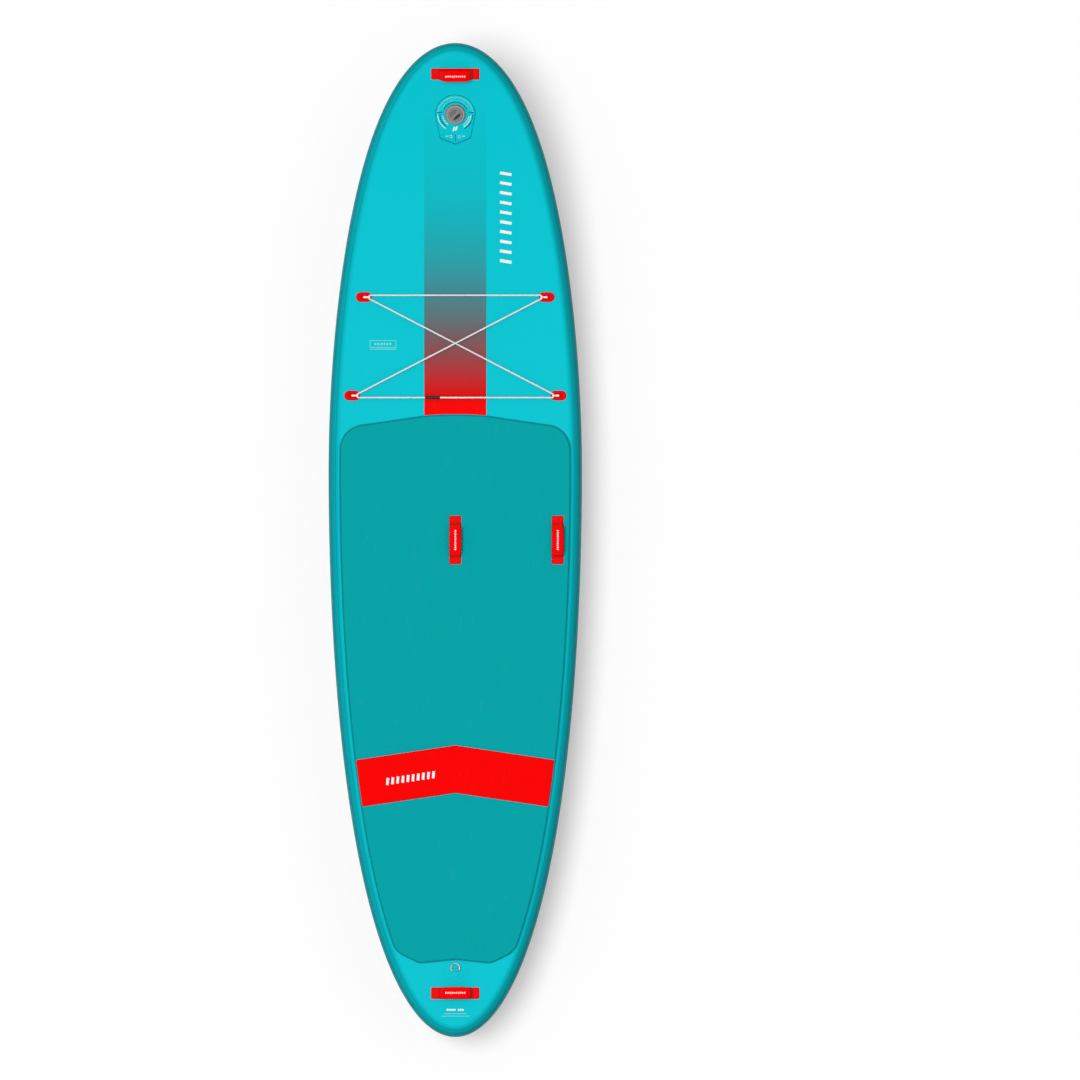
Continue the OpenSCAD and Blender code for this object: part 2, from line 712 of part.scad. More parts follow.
module plunger_seal() {
    color(black) at_valve() translate([0, 0, -barrel_depth - disc_seal_t]) difference() {
        cylinder(r = disc_r, h = disc_seal_t);
        translate([0, 0, -1]) cylinder(r = stem_r, h = disc_seal_t + 2);
    }
}

// Ring of points round a path point, square to the direction of the path
function tube_ring(p, t, r, sides) =
    let (side = cross(t, [0, 0, 1]) / norm(cross(t, [0, 0, 1])), up = cross(side, t))
    [for (i = [0 : sides - 1]) p + r * (cos(360 * i / sides) * side + sin(360 * i / sides) * up)];

// Round tube along a path; a closed one joins its last point to its first
module tube(path, r, sides, closed) {
    n = len(path);
    rings = [for (i = [0 : n - 1])
        let (a = path[closed ? (i + n - 1) % n : max(i - 1, 0)], b = path[closed ? (i + 1) % n : min(i + 1, n - 1)])
        each tube_ring(path[i], (b - a) / norm(b - a), r, sides)];
    function at(i, j) = (i % n) * sides + j % sides;
    walls = [for (i = [0 : n - (closed ? 1 : 2)], j = [0 : sides - 1], t = [0, 1])
        t == 0 ? [at(i, j), at(i, j + 1), at(i + 1, j + 1)] : [at(i, j), at(i + 1, j + 1), at(i + 1, j)]];
    ends = closed ? [] : [[for (j = [sides - 1 : -1 : 0]) at(0, j)], [for (j = [0 : sides - 1]) at(n - 1, j)]];
    polyhedron(points = rings, faces = concat(walls, ends));
}

spring_low = guide_z + guide_h + wire_r;
spring_high = button_z - wire_r;
spring_r = stem_r + wire_r + 0.6;
module valve_spring() {
    steps = spring_turns * 20;
    color(grey) at_valve() tube([for (i = [0 : steps])
        [spring_r * cos(18 * i), spring_r * sin(18 * i), spring_low + (spring_high - spring_low) * i / steps]],
        wire_r, 6, false);
}

cap_z = flange_t + cap_seal_t;
module valve_cap() {
    color(grey) at_valve() {
        difference() {
            union() {
                translate([0, 0, cap_z]) cylinder(r = cap_r, h = cap_t);
                translate([0, 0, cap_z]) cylinder(r = cap_hub_r, h = cap_t + cap_hub_h);
            }
            // Two finger hollows leave the grip bar standing
            rotate([0, 0, 45]) for (s = [-1, 1])
                intersection() {
                    translate([0, 0, cap_z + cap_t]) cylinder(r = cap_hub_r - 4, h = cap_hub_h + 1);
                    translate([-cap_hub_r, s > 0 ? cap_bar_w / 2 : -cap_bar_w / 2 - cap_hub_r, cap_z + cap_t])
                        cube([2 * cap_hub_r, cap_hub_r, cap_hub_h + 1]);
                }
        }
        difference() {
            translate([0, 0, flange_t - skirt_depth]) cylinder(r = skirt_r, h = skirt_depth + cap_seal_t);
            translate([0, 0, flange_t - skirt_depth - 1])
                cylinder(r = skirt_r - skirt_wall, h = skirt_depth + cap_seal_t + 1);
        }
    }
}
module cap_seal() {
    color(black) at_valve() translate([0, 0, flange_t]) difference() {
        cylinder(r = cap_r - seal_margin, h = cap_seal_t);
        translate([0, 0, -1]) cylinder(r = skirt_r + 0.1, h = cap_seal_t + 2);
    }
}

// ---- Bungee ----

// An anchor for the port side: a stadium pad with a round recess; its cord side faces +X
module anchor_pad() {
    color(red) difference() {
        union() {
            for (s = [-1, 1]) translate([s * (anchor_l - anchor_w) / 2, 0, 0]) cylinder(d = anchor_w, h = anchor_t);
            translate([-(anchor_l - anchor_w) / 2, -anchor_w / 2, 0]) cube([anchor_l - anchor_w, anchor_w, anchor_t]);
        }
        translate([0, 0, anchor_t - anchor_recess]) cylinder(r = anchor_w / 2 - anchor_rim, h = anchor_recess + 1);
        translate([0, -tab_w, anchor_t - anchor_recess]) cube([anchor_l, 2 * tab_w, anchor_recess + 1]);
    }
}
// The tab's loop goes round the cord at the outer end of its bend
loop_in = cord_r + tab_clear;
loop_out = loop_in + tab_t;
cord_h = anchor_t - anchor_recess + loop_out;
loop_x = cord_bend_x - cord_bend_r + 0.4;
module anchor_tab() {
    color(white) translate([loop_x, tab_w / 2, anchor_t - anchor_recess]) rotate([90, 0, 0]) difference() {
        union() {
            translate([0, loop_out, 0]) cylinder(r = loop_out, h = tab_w);
            translate([-tab_tail, 0, 0]) cube([tab_tail, 2 * tab_t, tab_w]);
        }
        translate([0, loop_out, -1]) cylinder(r = loop_in, h = tab_w + 2);
    }
}
front_anchor_x = half_width_at(front_anchor_y) - front_anchor_inset;
rear_anchor_x = half_width_at(rear_anchor_y) - rear_anchor_inset;
module at_front_port() { on_deck(-front_anchor_x, front_anchor_y) children(); }
module at_front_starboard() { on_deck(front_anchor_x, front_anchor_y) mirror([1, 0, 0]) children(); }
module at_rear_port() { on_deck(-rear_anchor_x, rear_anchor_y) children(); }
module at_rear_starboard() { on_deck(rear_anchor_x, rear_anchor_y) mirror([1, 0, 0]) children(); }
module front_port_anchor() { at_front_port() anchor_pad(); }
module front_starboard_anchor() { at_front_starboard() anchor_pad(); }
module rear_port_anchor() { at_rear_port() anchor_pad(); }
module rear_starboard_anchor() { at_rear_starboard() anchor_pad(); }
module front_port_tab() { at_front_port() anchor_tab(); }
module front_starboard_tab() { at_front_starboard() anchor_tab(); }
module rear_port_tab() { at_rear_port() anchor_tab(); }
module rear_starboard_tab() { at_rear_starboard() anchor_tab(); }

// The cord's route: a front run, two crossing diagonals and a rear run, with a bend at each anchor
front_bend_x = front_anchor_x - cord_bend_x;
rear_bend_x = rear_anchor_x - cord_bend_x;
diagonal = [front_bend_x + rear_bend_x, front_anchor_y - rear_anchor_y];
diagonal_angle = atan2(diagonal.y, diagonal.x) + asin(2 * cord_bend_r / norm(diagonal));
bend_steps = 8;
function bend(x, y, from, to) = [
    for (i = [0 : bend_steps])
        let (a = from + (to - from) * i / bend_steps)
        deck_point(x + cord_bend_r * cos(a), y, cord_h) + [0, cord_bend_r * sin(a), 0]
];
// A diagonal passes over or under the other one in the middle
diagonal_points = [0.2, 0.35, 0.46, 0.54, 0.65, 0.8];
function crossing(a, b, lift) = [
    for (t = diagonal_points) a + (b - a) * t + [0, 0, lift * exp(-pow((t - 0.5) / 0.2, 2))]
];
bend_front_port = bend(-front_bend_x, front_anchor_y, 270 - diagonal_angle, 90);
bend_front_starboard = bend(front_bend_x, front_anchor_y, 90, -90 + diagonal_angle);
bend_rear_port = bend(-rear_bend_x, rear_anchor_y, 90 + diagonal_angle, 270);
bend_rear_starboard = bend(rear_bend_x, rear_anchor_y, -90, 90 - diagonal_angle);
function last(v) = v[len(v) - 1];
cord_route = concat(
    bend_front_starboard,
    crossing(last(bend_front_starboard), bend_rear_port[0], cord_cross),
    bend_rear_port,
    bend_rear_starboard,
    crossing(last(bend_rear_starboard), bend_front_port[0], -cord_cross),
    bend_front_port
);
module bungee_cord() { color(white) tube(cord_route, cord_r, 12, true); }
module cord_joiner() {
    at = bend_rear_port[bend_steps];
    color(black) translate([joiner_x - joiner_l / 2, at.y, at.z]) rotate([0, 90, 0]) difference() {
        cylinder(r = joiner_r, h = joiner_l);
        translate([0, 0, -1]) cylinder(r = cord_r + joiner_clear, h = joiner_l + 2);
    }
}

// ---- Ring fittings, with the bar along X and the bow towards +Y ----

ring_seat = patch_t + ring_step_t;
bar_h = ring_web_t + ring_clear + ring_wire_r;
module ring_patch() {
    color(turquoise) {
        cylinder(r = ring_patch_r, h = patch_t);
        cylinder(r = ring_step_r, h = ring_seat);
    }
}
bar_half = ring_half - ring_corner_r;
module ring_tab() {
    loop = bar_h;
    width = 2 * bar_half - 2 * ring_clear;
    color(turquoise) translate([width / 2, 0, ring_seat]) rotate([90, 0, -90]) difference() {
        union() {
            translate([0, loop, 0]) cylinder(r = loop, h = width);
            cube([ring_tail, 2 * ring_web_t, width]);
        }
        translate([0, loop, -1]) cylinder(r = loop - ring_web_t, h = width + 2);
    }
}
// The bow rests just above the patch, so the ring leans down from its bar
ring_lean = asin((ring_web_t) / (ring_side + ring_half));
module ring() {
    color(grey) translate([0, 0, ring_seat + bar_h]) rotate([-ring_lean, 0, 0]) {
        translate([-bar_half, 0, 0]) rotate([0, 90, 0]) cylinder(r = ring_wire_r, h = 2 * bar_half);
        for (s = [0, 1]) mirror([s, 0, 0]) {
            translate([bar_half, ring_corner_r, 0]) rotate([0, 0, -90])
                rotate_extrude(angle = 90) translate([ring_corner_r, 0]) circle(r = ring_wire_r);
            translate([ring_half, ring_corner_r, 0]) rotate([-90, 0, 0])
                cylinder(r = ring_wire_r, h = ring_side - ring_corner_r);
        }
        translate([0, ring_side, 0]) rotate_extrude(angle = 180) translate([ring_half, 0]) circle(r = ring_wire_r);
    }
}
module at_tail_ring() { on_deck(0, tail_ring_y) children(); }
module at_nose_ring() { on_hull(0, nose_ring_y) translate([0, 0, nose_patch_t * cos(slope_at(nose_ring_y))]) children(); }
module tail_ring_patch() { at_tail_ring() ring_patch(); }
module tail_ring_tab() { at_tail_ring() translate([0, ring_shift, 0]) ring_tab(); }
module tail_ring() { at_tail_ring() translate([0, ring_shift, 0]) ring(); }
module nose_ring_patch() { at_nose_ring() ring_patch(); }
module nose_ring_tab() { at_nose_ring() ring_tab(); }
module nose_ring() { at_nose_ring() ring(); }

// Patch under the nose: as wide as the stripe, with a round rear end
module nose_patch() {
    color(turquoise) intersection() {
        plan_block() polygon(concat(
            [[nose_patch_half, half_l], [-nose_patch_half, half_l]],
            [for (a = [180 : 10 : 360])
                [nose_patch_half * cos(a), nose_patch_y + nose_patch_half + nose_patch_half * sin(a)]]
        ));
        sheet(-nose_patch_t, 0, rail_w);
    }
}

// ---- Fins ----

// A stadium along Y
module stadium(length, width, height) {
    for (s = [-1, 1]) translate([0, s * (length - width) / 2, 0]) cylinder(d = width, h = height);
    translate([-width / 2, -(length - width) / 2, 0]) cube([width, length - width, height]);
}
fin_front = fin_base_l / 2 - fin_setback;
fin_rear = -fin_base_l / 2;
foot_rear = fin_rear + fin_root_t;
module fin_base() {
    color(black) difference() {
        union() {
            stadium(fin_base_l, fin_base_w, fin_step);
            stadium(fin_base_l - 0.35 * fin_base_w, 0.65 * fin_base_w, 2 * fin_step);
            stadium(fin_base_l - 0.65 * fin_base_w, 0.35 * fin_base_w, 3 * fin_step);
        }
        translate([-fin_root_t / 2, foot_rear, fin_step])
            cube([fin_root_t, fin_front - foot_rear, 3 * fin_step]);
    }
}
// Side view of the blade above its base: leading edge, rounded tip and raked trailing edge
blade_z = 3 * fin_step;
blade_h = fin_depth - blade_z;
lead_steps = 10;
leading_edge = [
    for (i = [0 : lead_steps])
        let (s = i / lead_steps)
        [fin_front - fin_sweep * s, blade_z + blade_h * (1 - pow(1 - s, 1.7))]
];
tip_y = fin_front - fin_sweep;
trailing_edge = [
    [tip_y - 9, blade_z + 0.96 * blade_h], [tip_y - 12, blade_z + 0.88 * blade_h],
    [tip_y - 11, blade_z + 0.7 * blade_h], [tip_y - 8, blade_z + 0.45 * blade_h],
    [tip_y - 6, blade_z + 0.2 * blade_h], [tip_y - 6, blade_z]
];
module fin_blade() {
    color(black) {
        intersection() {
            translate([-fin_root_t, 0, 0]) rotate([90, 0, 90]) linear_extrude(2 * fin_root_t)
                polygon(concat(leading_edge, trailing_edge));
            translate([0, fin_base_l, 0]) rotate([90, 0, 0]) linear_extrude(2 * fin_base_l)
                polygon([[-fin_root_t / 2, blade_z], [fin_root_t / 2, blade_z],
                    [fin_tip_t / 2, fin_depth], [-fin_tip_t / 2, fin_depth]]);
        }
        translate([-fin_root_t / 2, foot_rear, fin_step])
            cube([fin_root_t, fin_front - foot_rear, 2 * fin_step]);
    }
}
module at_port_fin() { on_hull(-side_fin_x, side_fin_y) rotate([0, 0, side_fin_toe]) children(); }
module at_starboard_fin() { on_hull(side_fin_x, side_fin_y) rotate([0, 0, -side_fin_toe]) children(); }
module at_centre_fin() { on_hull(0, centre_fin_y) children(); }
module port_fin_base() { at_port_fin() fin_base(); }
module starboard_fin_base() { at_starboard_fin() fin_base(); }
module centre_fin_base() { at_centre_fin() fin_base(); }
module port_fin_blade() { at_port_fin() fin_blade(); }
module starboard_fin_blade() { at_starboard_fin() fin_blade(); }
module centre_fin_blade() { at_centre_fin() fin_blade(); }

deck_fabric();
hull_fabric();
drop_threads();
deck_skin();
hull_skin();
rail_wall_port();
rail_wall_starboard();
rail_cover_port();
rail_cover_starboard();
rail_stripe_port();
rail_stripe_starboard();
front_pad();
chevron_pad();
rear_pad();
nose_handle_patch();
nose_handle_strap();
nose_handle_grip();
centre_handle_patch();
centre_handle_strap();
centre_handle_grip();
side_handle_patch();
side_handle_strap();
side_handle_grip();
tail_handle_patch();
tail_handle_strap();
tail_handle_grip();
valve_patch();
valve_gasket();
valve_body();
valve_seat();
valve_nut();
valve_plunger();
plunger_seal();
valve_spring();
valve_cap();
cap_seal();
front_port_anchor();
front_starboard_anchor();
rear_port_anchor();
rear_starboard_anchor();
front_port_tab();
front_starboard_tab();
rear_port_tab();
rear_starboard_tab();
bungee_cord();
cord_joiner();
tail_ring_patch();
tail_ring_tab();
tail_ring();
nose_patch();
nose_ring_patch();
nose_ring_tab();
nose_ring();
port_fin_base();
starboard_fin_base();
centre_fin_base();
port_fin_blade();
starboard_fin_blade();
centre_fin_blade();
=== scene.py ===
import math

import bmesh
import bpy
import numpy as np
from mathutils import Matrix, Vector


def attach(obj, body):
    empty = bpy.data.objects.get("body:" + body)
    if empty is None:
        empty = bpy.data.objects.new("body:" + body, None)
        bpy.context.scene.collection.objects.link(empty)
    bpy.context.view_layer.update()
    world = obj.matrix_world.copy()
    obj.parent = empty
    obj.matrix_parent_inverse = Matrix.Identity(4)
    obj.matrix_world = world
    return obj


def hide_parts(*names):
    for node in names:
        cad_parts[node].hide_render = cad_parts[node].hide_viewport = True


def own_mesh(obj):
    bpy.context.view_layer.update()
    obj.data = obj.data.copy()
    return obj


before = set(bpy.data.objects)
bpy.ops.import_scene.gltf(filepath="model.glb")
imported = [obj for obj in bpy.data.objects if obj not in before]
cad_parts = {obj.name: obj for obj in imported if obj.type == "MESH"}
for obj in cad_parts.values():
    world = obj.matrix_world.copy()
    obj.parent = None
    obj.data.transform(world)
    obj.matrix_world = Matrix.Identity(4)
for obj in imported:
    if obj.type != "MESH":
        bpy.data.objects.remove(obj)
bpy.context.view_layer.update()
print("frame loaded")

# Shape of the board, in metres; the nose points along +Y and the deck faces +Z

board = {
    "halfLength": 1.6, "halfWidth": 0.408, "thickness": 0.15, "hullZ": 0.1, "widestY": 0.22,
    "noseFullness": 0.104, "nosePower": 3.09, "tailFullness": 0.095, "tailPower": 2.03,
    "noseRise": 0.19, "noseStart": 0.44, "tailRise": 0.02, "tailStart": -1.18,
    "stations": [-1.6, -1.4955, -1.2805, -1.18, 0.44, 0.502, 0.6235, 0.75, 0.814, 0.9254,
                 1.03675, 1.1481, 1.2595, 1.446, 1.476, 1.6],
    "soften": 0.04,  # half of the stretch over which the flats are blended
    "railWidth": 0.04,
}
deckZ = board["hullZ"] + board["thickness"]
midZ = board["hullZ"] + board["thickness"] / 2


# Rise of the bottom: noseRise * (way into the nose)^2 + tailRise * (way into the tail)^2
def rise(y):
    nose = np.clip((y - board["noseStart"]) / (board["halfLength"] - board["noseStart"]), 0, None)
    tail = np.clip((board["tailStart"] - y) / (board["halfLength"] + board["tailStart"]), 0, None)
    return board["noseRise"] * nose**2 + board["tailRise"] * tail**2


stationY = np.array(board["stations"])
stationZ = rise(stationY)
flatY = np.concatenate([[2 * stationY[0] - stationY[1]], stationY, [2 * stationY[-1] - stationY[-2]]])
flatZ = np.concatenate([[2 * stationZ[0] - stationZ[1]], stationZ, [2 * stationZ[-1] - stationZ[-2]]])


# Height of the flats that the fittings sit on: straight lines between the stations
def flatHeight(y):
    return np.interp(y, flatY, flatZ)


def flatSlope(y):
    return math.atan((flatHeight(y + 0.0005) - flatHeight(y - 0.0005)) / 0.001)


# Height of the skins: the flats averaged over a short stretch, so that they run into each other
tableY = np.linspace(-1.66, 1.66, 3321)
tableZ = flatHeight(tableY[:, None] + np.linspace(-board["soften"], board["soften"], 41)).mean(1)


def boardHeight(y):
    return np.interp(y, tableY, tableZ)


# Outline: x = halfWidth cos a (1 + fullness |sin a|^power), y = widestY + reach sin a
def outlineXY(angle):
    s = np.abs(np.sin(angle))
    nose = angle > 0
    swell = np.where(nose, board["noseFullness"] * s**board["nosePower"],
                     board["tailFullness"] * s**board["tailPower"])
    reach = np.where(nose, board["halfLength"] - board["widestY"], board["halfLength"] + board["widestY"])
    return np.stack([board["halfWidth"] * np.cos(angle) * (1 + swell),
                     board["widestY"] + reach * np.sin(angle)], -1)


def outlineNormal(angle):
    along = outlineXY(angle + 1e-4) - outlineXY(angle - 1e-4)
    across = np.stack([along[..., 1], -along[..., 0]], -1)
    return across / np.linalg.norm(across, axis=-1, keepdims=True)


# Rows down the board: even steps of angle, with finer ones round the valve's hole
stepAngles = np.radians(np.linspace(-90, 90, 145))
holeAngles = np.radians(np.linspace(54.6, 58.6, 10))
ringAngles = np.sort(np.concatenate([
    stepAngles[(stepAngles < holeAngles[0] - 0.004) | (stepAngles > holeAngles[-1] + 0.004)], holeAngles]))
sideNormal = outlineNormal(ringAngles)
sideXY = outlineXY(ringAngles) - board["railWidth"] * sideNormal
sideXY[[0, -1], 0] = 0
sideNormal[[0, -1]] = [[0, -1], [0, 1]]
portTurn = np.array([-1, 1])
loopXY = np.concatenate([sideXY, sideXY[-2:0:-1] * portTurn])
loopNormal = np.concatenate([sideNormal, sideNormal[-2:0:-1] * portTurn])


# Half width of the flat deck at a station, inside the rails
def flatHalf(y):
    return np.interp(y, sideXY[:, 1], sideXY[:, 0])


# Meshes

# A grid of points as faces; outwards is the row direction crossed with the column direction
def gridPart(points, wrapRows=False, wrapCols=False, u=None, v=None, keep=None, flip=False):
    rows, cols = points.shape[:2]
    i, j = np.meshgrid(np.arange(rows - (not wrapRows)), np.arange(cols - (not wrapCols)), indexing="ij")
    if keep is not None:
        i, j = i[keep], j[keep]
    i, j = i.ravel(), j.ravel()
    corners = [(i, j), (i + 1, j), (i + 1, j + 1), (i, j + 1)]
    if flip:
        corners.reverse()
    faces = np.stack([(a % rows) * cols + b % cols for a, b in corners], 1)
    used, packed = np.unique(faces, return_inverse=True)
    if u is None:
        u = np.linspace(0, 1, rows + 1)
    if v is None:
        v = np.linspace(0, 1, cols + 1)
    uv = np.stack([np.stack([u[a], v[b]], -1) for a, b in corners], 1)
    return {"points": points.reshape(-1, 3)[used], "faces": packed.reshape(faces.shape), "uv": uv,
            "rows": used}


def makeMesh(name, parts, outward=False):
    start = np.cumsum([0] + [len(p["points"]) for p in parts])
    points = np.concatenate([p["points"] for p in parts])
    faces = np.concatenate([p["faces"] + s for p, s in zip(parts, start)])
    mesh = bpy.data.meshes.new(name)
    mesh.from_pydata(points.tolist(), [], faces.tolist())
    layer = mesh.uv_layers.new(name="UVMap")
    layer.data.foreach_set("uv", np.concatenate([p["uv"] for p in parts]).astype(np.float32).ravel())
    if "mark" in parts[0]:
        attribute = mesh.attributes.new("mark", "FLOAT", "POINT")
        attribute.data.foreach_set("value", np.concatenate([p["mark"] for p in parts]).astype(np.float32))
    work = bmesh.new()
    work.from_mesh(mesh)
    bmesh.ops.remove_doubles(work, verts=work.verts, dist=1e-6)
    if outward:
        bmesh.ops.recalc_face_normals(work, faces=work.faces)
    work.to_mesh(mesh)
    work.free()
    return mesh


# A finished piece: its thickness and rounded edges are worked into the mesh, then creases are set by angle
def addPiece(name, parts, material, standsFor=(), body="board", outward=True,
             thickness=None, bevel=None, crease=40):
    mesh = makeMesh(name, parts, outward)
    piece = bpy.data.objects.new(name, mesh)
    bpy.context.scene.collection.objects.link(piece)
    mesh.materials.append(material)
    if thickness:
        wall = piece.modifiers.new("wall", "SOLIDIFY")
        wall.thickness, wall.offset, wall.use_even_offset = thickness, -1, True
    if bevel:
        edge = piece.modifiers.new("edge", "BEVEL")
        edge.width, edge.segments, edge.limit_method, edge.angle_limit = bevel, 2, "ANGLE", math.radians(50)
    if thickness or bevel:
        graph = bpy.context.evaluated_depsgraph_get()
        done = bpy.data.meshes.new_from_object(piece.evaluated_get(graph))
        piece.modifiers.clear()
        piece.data = done
        bpy.data.meshes.remove(mesh)
        done.name = name
    piece.data.polygons.foreach_set("use_smooth", np.ones(len(piece.data.polygons), bool))
    piece.data.set_sharp_from_angle(angle=math.radians(crease))
    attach(piece, body)
    if standsFor:
        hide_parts(*standsFor)
    return piece


# Seats: local points turned about their own Z, then tilted and lifted with the flat they sit on
def turned(points, turn):
    c, s = math.cos(turn), math.sin(turn)
    x, y, z = np.moveaxis(np.asarray(points, float), -1, 0)
    return np.stack([c * x - s * y, s * x + c * y, z], -1)


def tilted(points, x, y, z):
    a = flatSlope(y)
    c, s = math.cos(a), math.sin(a)
    px, py, pz = np.moveaxis(points, -1, 0)
    return np.stack([x + px, y + c * py - s * pz, z + flatHeight(y) + s * py + c * pz], -1)


def onDeck(points, x, y, turn=0.0, lift=0.0):
    return tilted(turned(points, turn) + [0, 0, lift], x, y, deckZ)


def onHull(points, x, y, turn=0.0, lift=0.0):
    return tilted((turned(points, turn) + [0, 0, lift]) * [-1, 1, -1], x, y, board["hullZ"])


def placed(part, place, *args, **words):
    return {**part, "points": place(part["points"], *args, **words)}


# Rounded plates: each row is (radius, share of the core, height), and a point is
# core * share + radius * direction
def platePart(core, direction, rows):
    rows = np.array(rows, float)
    xy = core * rows[:, 1, None, None] + direction * rows[:, 0, None, None]
    z = np.broadcast_to(rows[:, 2, None, None], xy.shape[:2] + (1,))
    return gridPart(np.concatenate([xy, z], -1), wrapCols=True)


# Corners of a rectangle or the two ends of a stadium, and the directions that round them
def roundCore(halfX, halfY, steps=8):
    quarter = np.linspace(0, math.pi / 2, steps)
    angle = np.concatenate([quarter + k * math.pi / 2 for k in range(4)])
    signs = np.repeat([[1, 1], [-1, 1], [-1, -1], [1, -1]], steps, 0)
    return signs * [halfX, halfY], np.stack([np.cos(angle), np.sin(angle)], -1)


# A section carried along a path: path + x * side + y * up, where side is square to the path and to hint
def sweepPart(path, section, hint=(0, 0, 1), closed=False, uvSize=(1, 1), scale=None):
    path, section = np.asarray(path, float), np.asarray(section, float)
    if closed:
        along = np.roll(path, -1, 0) - np.roll(path, 1, 0)
    else:
        along = np.gradient(path, axis=0)
    along /= np.linalg.norm(along, axis=1, keepdims=True)
    side = np.cross(along, hint)
    side /= np.linalg.norm(side, axis=1, keepdims=True)
    up = np.cross(side, along)
    size = np.ones(len(path)) if scale is None else np.asarray(scale, float)
    points = path[:, None] + size[:, None, None] * (
        section[None, :, :1] * side[:, None] + section[None, :, 1:] * up[:, None])
    length = np.concatenate([[0], np.cumsum(np.linalg.norm(np.diff(path, axis=0), axis=1))])
    length = np.append(length, length[-1] + np.linalg.norm(path[0] - path[-1]))
    around = np.append(np.arange(len(section)), len(section)) / len(section)
    if not closed:  # both ends are closed by a row drawn together on the path
        points = np.concatenate([np.repeat(path[:1, None], len(section), 1), points,
                                 np.repeat(path[-1:, None], len(section), 1)])
        length = np.concatenate([[0], length[:-1], [length[-2]], [length[-2]]])
    return gridPart(points, wrapRows=closed, wrapCols=True, u=length * uvSize[0], v=around * uvSize[1])


def circle(radius, steps):
    a = np.arange(steps) * 2 * math.pi / steps
    return np.stack([radius * np.cos(a), radius * np.sin(a)], -1)


# Section of webbing: a flat band with rounded sides
def bandSection(width, thickness):
    core, direction = roundCore(width / 2 - thickness / 2, 0, 5)
    return core + direction * thickness / 2


# A turned shape: the profile (radius, height) goes round Z; a closed one makes a ring
def lathePart(profile, steps=96, closed=False):
    profile = np.asarray(profile, float)
    a = np.arange(steps) * 2 * math.pi / steps
    points = np.stack([profile[:, :1] * np.cos(a), profile[:, :1] * np.sin(a),
                       np.repeat(profile[:, 1:], steps, 1)], -1)
    return gridPart(points, wrapRows=closed, wrapCols=True)


def smoothStep(low, high, x):
    t = np.clip((x - low) / (high - low), 0, 1)
    return t * t * (3 - 2 * t)


# Shader helpers

def addNode(tree, kind, inputs=None, **settings):
    made = tree.nodes.new(kind)
    for key, value in settings.items():
        setattr(made, key, value)
    for key, value in (inputs or {}).items():
        if isinstance(value, bpy.types.NodeSocket):
            tree.links.new(value, made.inputs[key])
        else:
            made.inputs[key].default_value = value
    return made


def mathNode(tree, operation, a, b=0.0, c=0.0):
    return addNode(tree, "ShaderNodeMath", {0: a, 1: b, 2: c}, operation=operation).outputs[0]


def newGroup(name, inputs, outputs):
    group = bpy.data.node_groups.new(name, "ShaderNodeTree")
    for key, kind, value in inputs:
        socket = group.interface.new_socket(key, in_out="INPUT", socket_type=kind)
        if value is not None:
            socket.default_value = value
    for key, kind in outputs:
        group.interface.new_socket(key, in_out="OUTPUT", socket_type=kind)
    return group, group.nodes.new("NodeGroupInput"), group.nodes.new("NodeGroupOutput")


# Slight unevenness of colour: 1 plus or minus amount, in patches of two sizes, and a mask for the finish
def makeMottle():
    group, given, out = newGroup(
        "softMottle",
        [("Vector", "NodeSocketVector", None), ("Size", "NodeSocketFloat", 0.2),
         ("Amount", "NodeSocketFloat", 0.03)],
        [("Shade", "NodeSocketFloat"), ("Mask", "NodeSocketFloat")])
    scale = mathNode(group, "DIVIDE", 1.0, given.outputs["Size"])
    wide = addNode(group, "ShaderNodeTexNoise", {
        "Vector": given.outputs["Vector"], "Scale": scale, "Detail": 3.0})
    small = addNode(group, "ShaderNodeTexNoise", {
        "Vector": given.outputs["Vector"], "Scale": mathNode(group, "MULTIPLY", scale, 9.0), "Detail": 4.0})
    wideShare = mathNode(group, "MULTIPLY", wide.outputs["Fac"], 0.6)
    both = mathNode(group, "MULTIPLY_ADD", small.outputs["Fac"], 0.4, wideShare)
    centred = mathNode(group, "SUBTRACT", both, 0.5)
    swing = mathNode(group, "MULTIPLY", centred, mathNode(group, "MULTIPLY", given.outputs["Amount"], 4.0))
    group.links.new(mathNode(group, "ADD", swing, 1.0), out.inputs["Shade"])
    group.links.new(both, out.inputs["Mask"])
    return group


# Threads crossing at right angles: sin(2 pi x / pitch) * sin(2 pi y / pitch), raised where they cross
def makeWeave():
    group, given, out = newGroup(
        "crossWeave",
        [("Vector", "NodeSocketVector", None), ("PitchX", "NodeSocketFloat", 0.001),
         ("PitchY", "NodeSocketFloat", 0.001)],
        [("Height", "NodeSocketFloat"), ("Rib", "NodeSocketFloat")])
    axes = addNode(group, "ShaderNodeSeparateXYZ", {0: given.outputs["Vector"]})
    waveX = mathNode(group, "SINE", mathNode(
        group, "DIVIDE", mathNode(group, "MULTIPLY", axes.outputs[0], 2 * math.pi), given.outputs["PitchX"]))
    waveY = mathNode(group, "SINE", mathNode(
        group, "DIVIDE", mathNode(group, "MULTIPLY", axes.outputs[1], 2 * math.pi), given.outputs["PitchY"]))
    group.links.new(mathNode(group, "MULTIPLY_ADD", mathNode(group, "MULTIPLY", waveX, waveY), 0.5, 0.5),
                    out.inputs["Height"])
    group.links.new(mathNode(group, "MULTIPLY_ADD", waveX, 0.5, 0.5), out.inputs["Rib"])
    return group


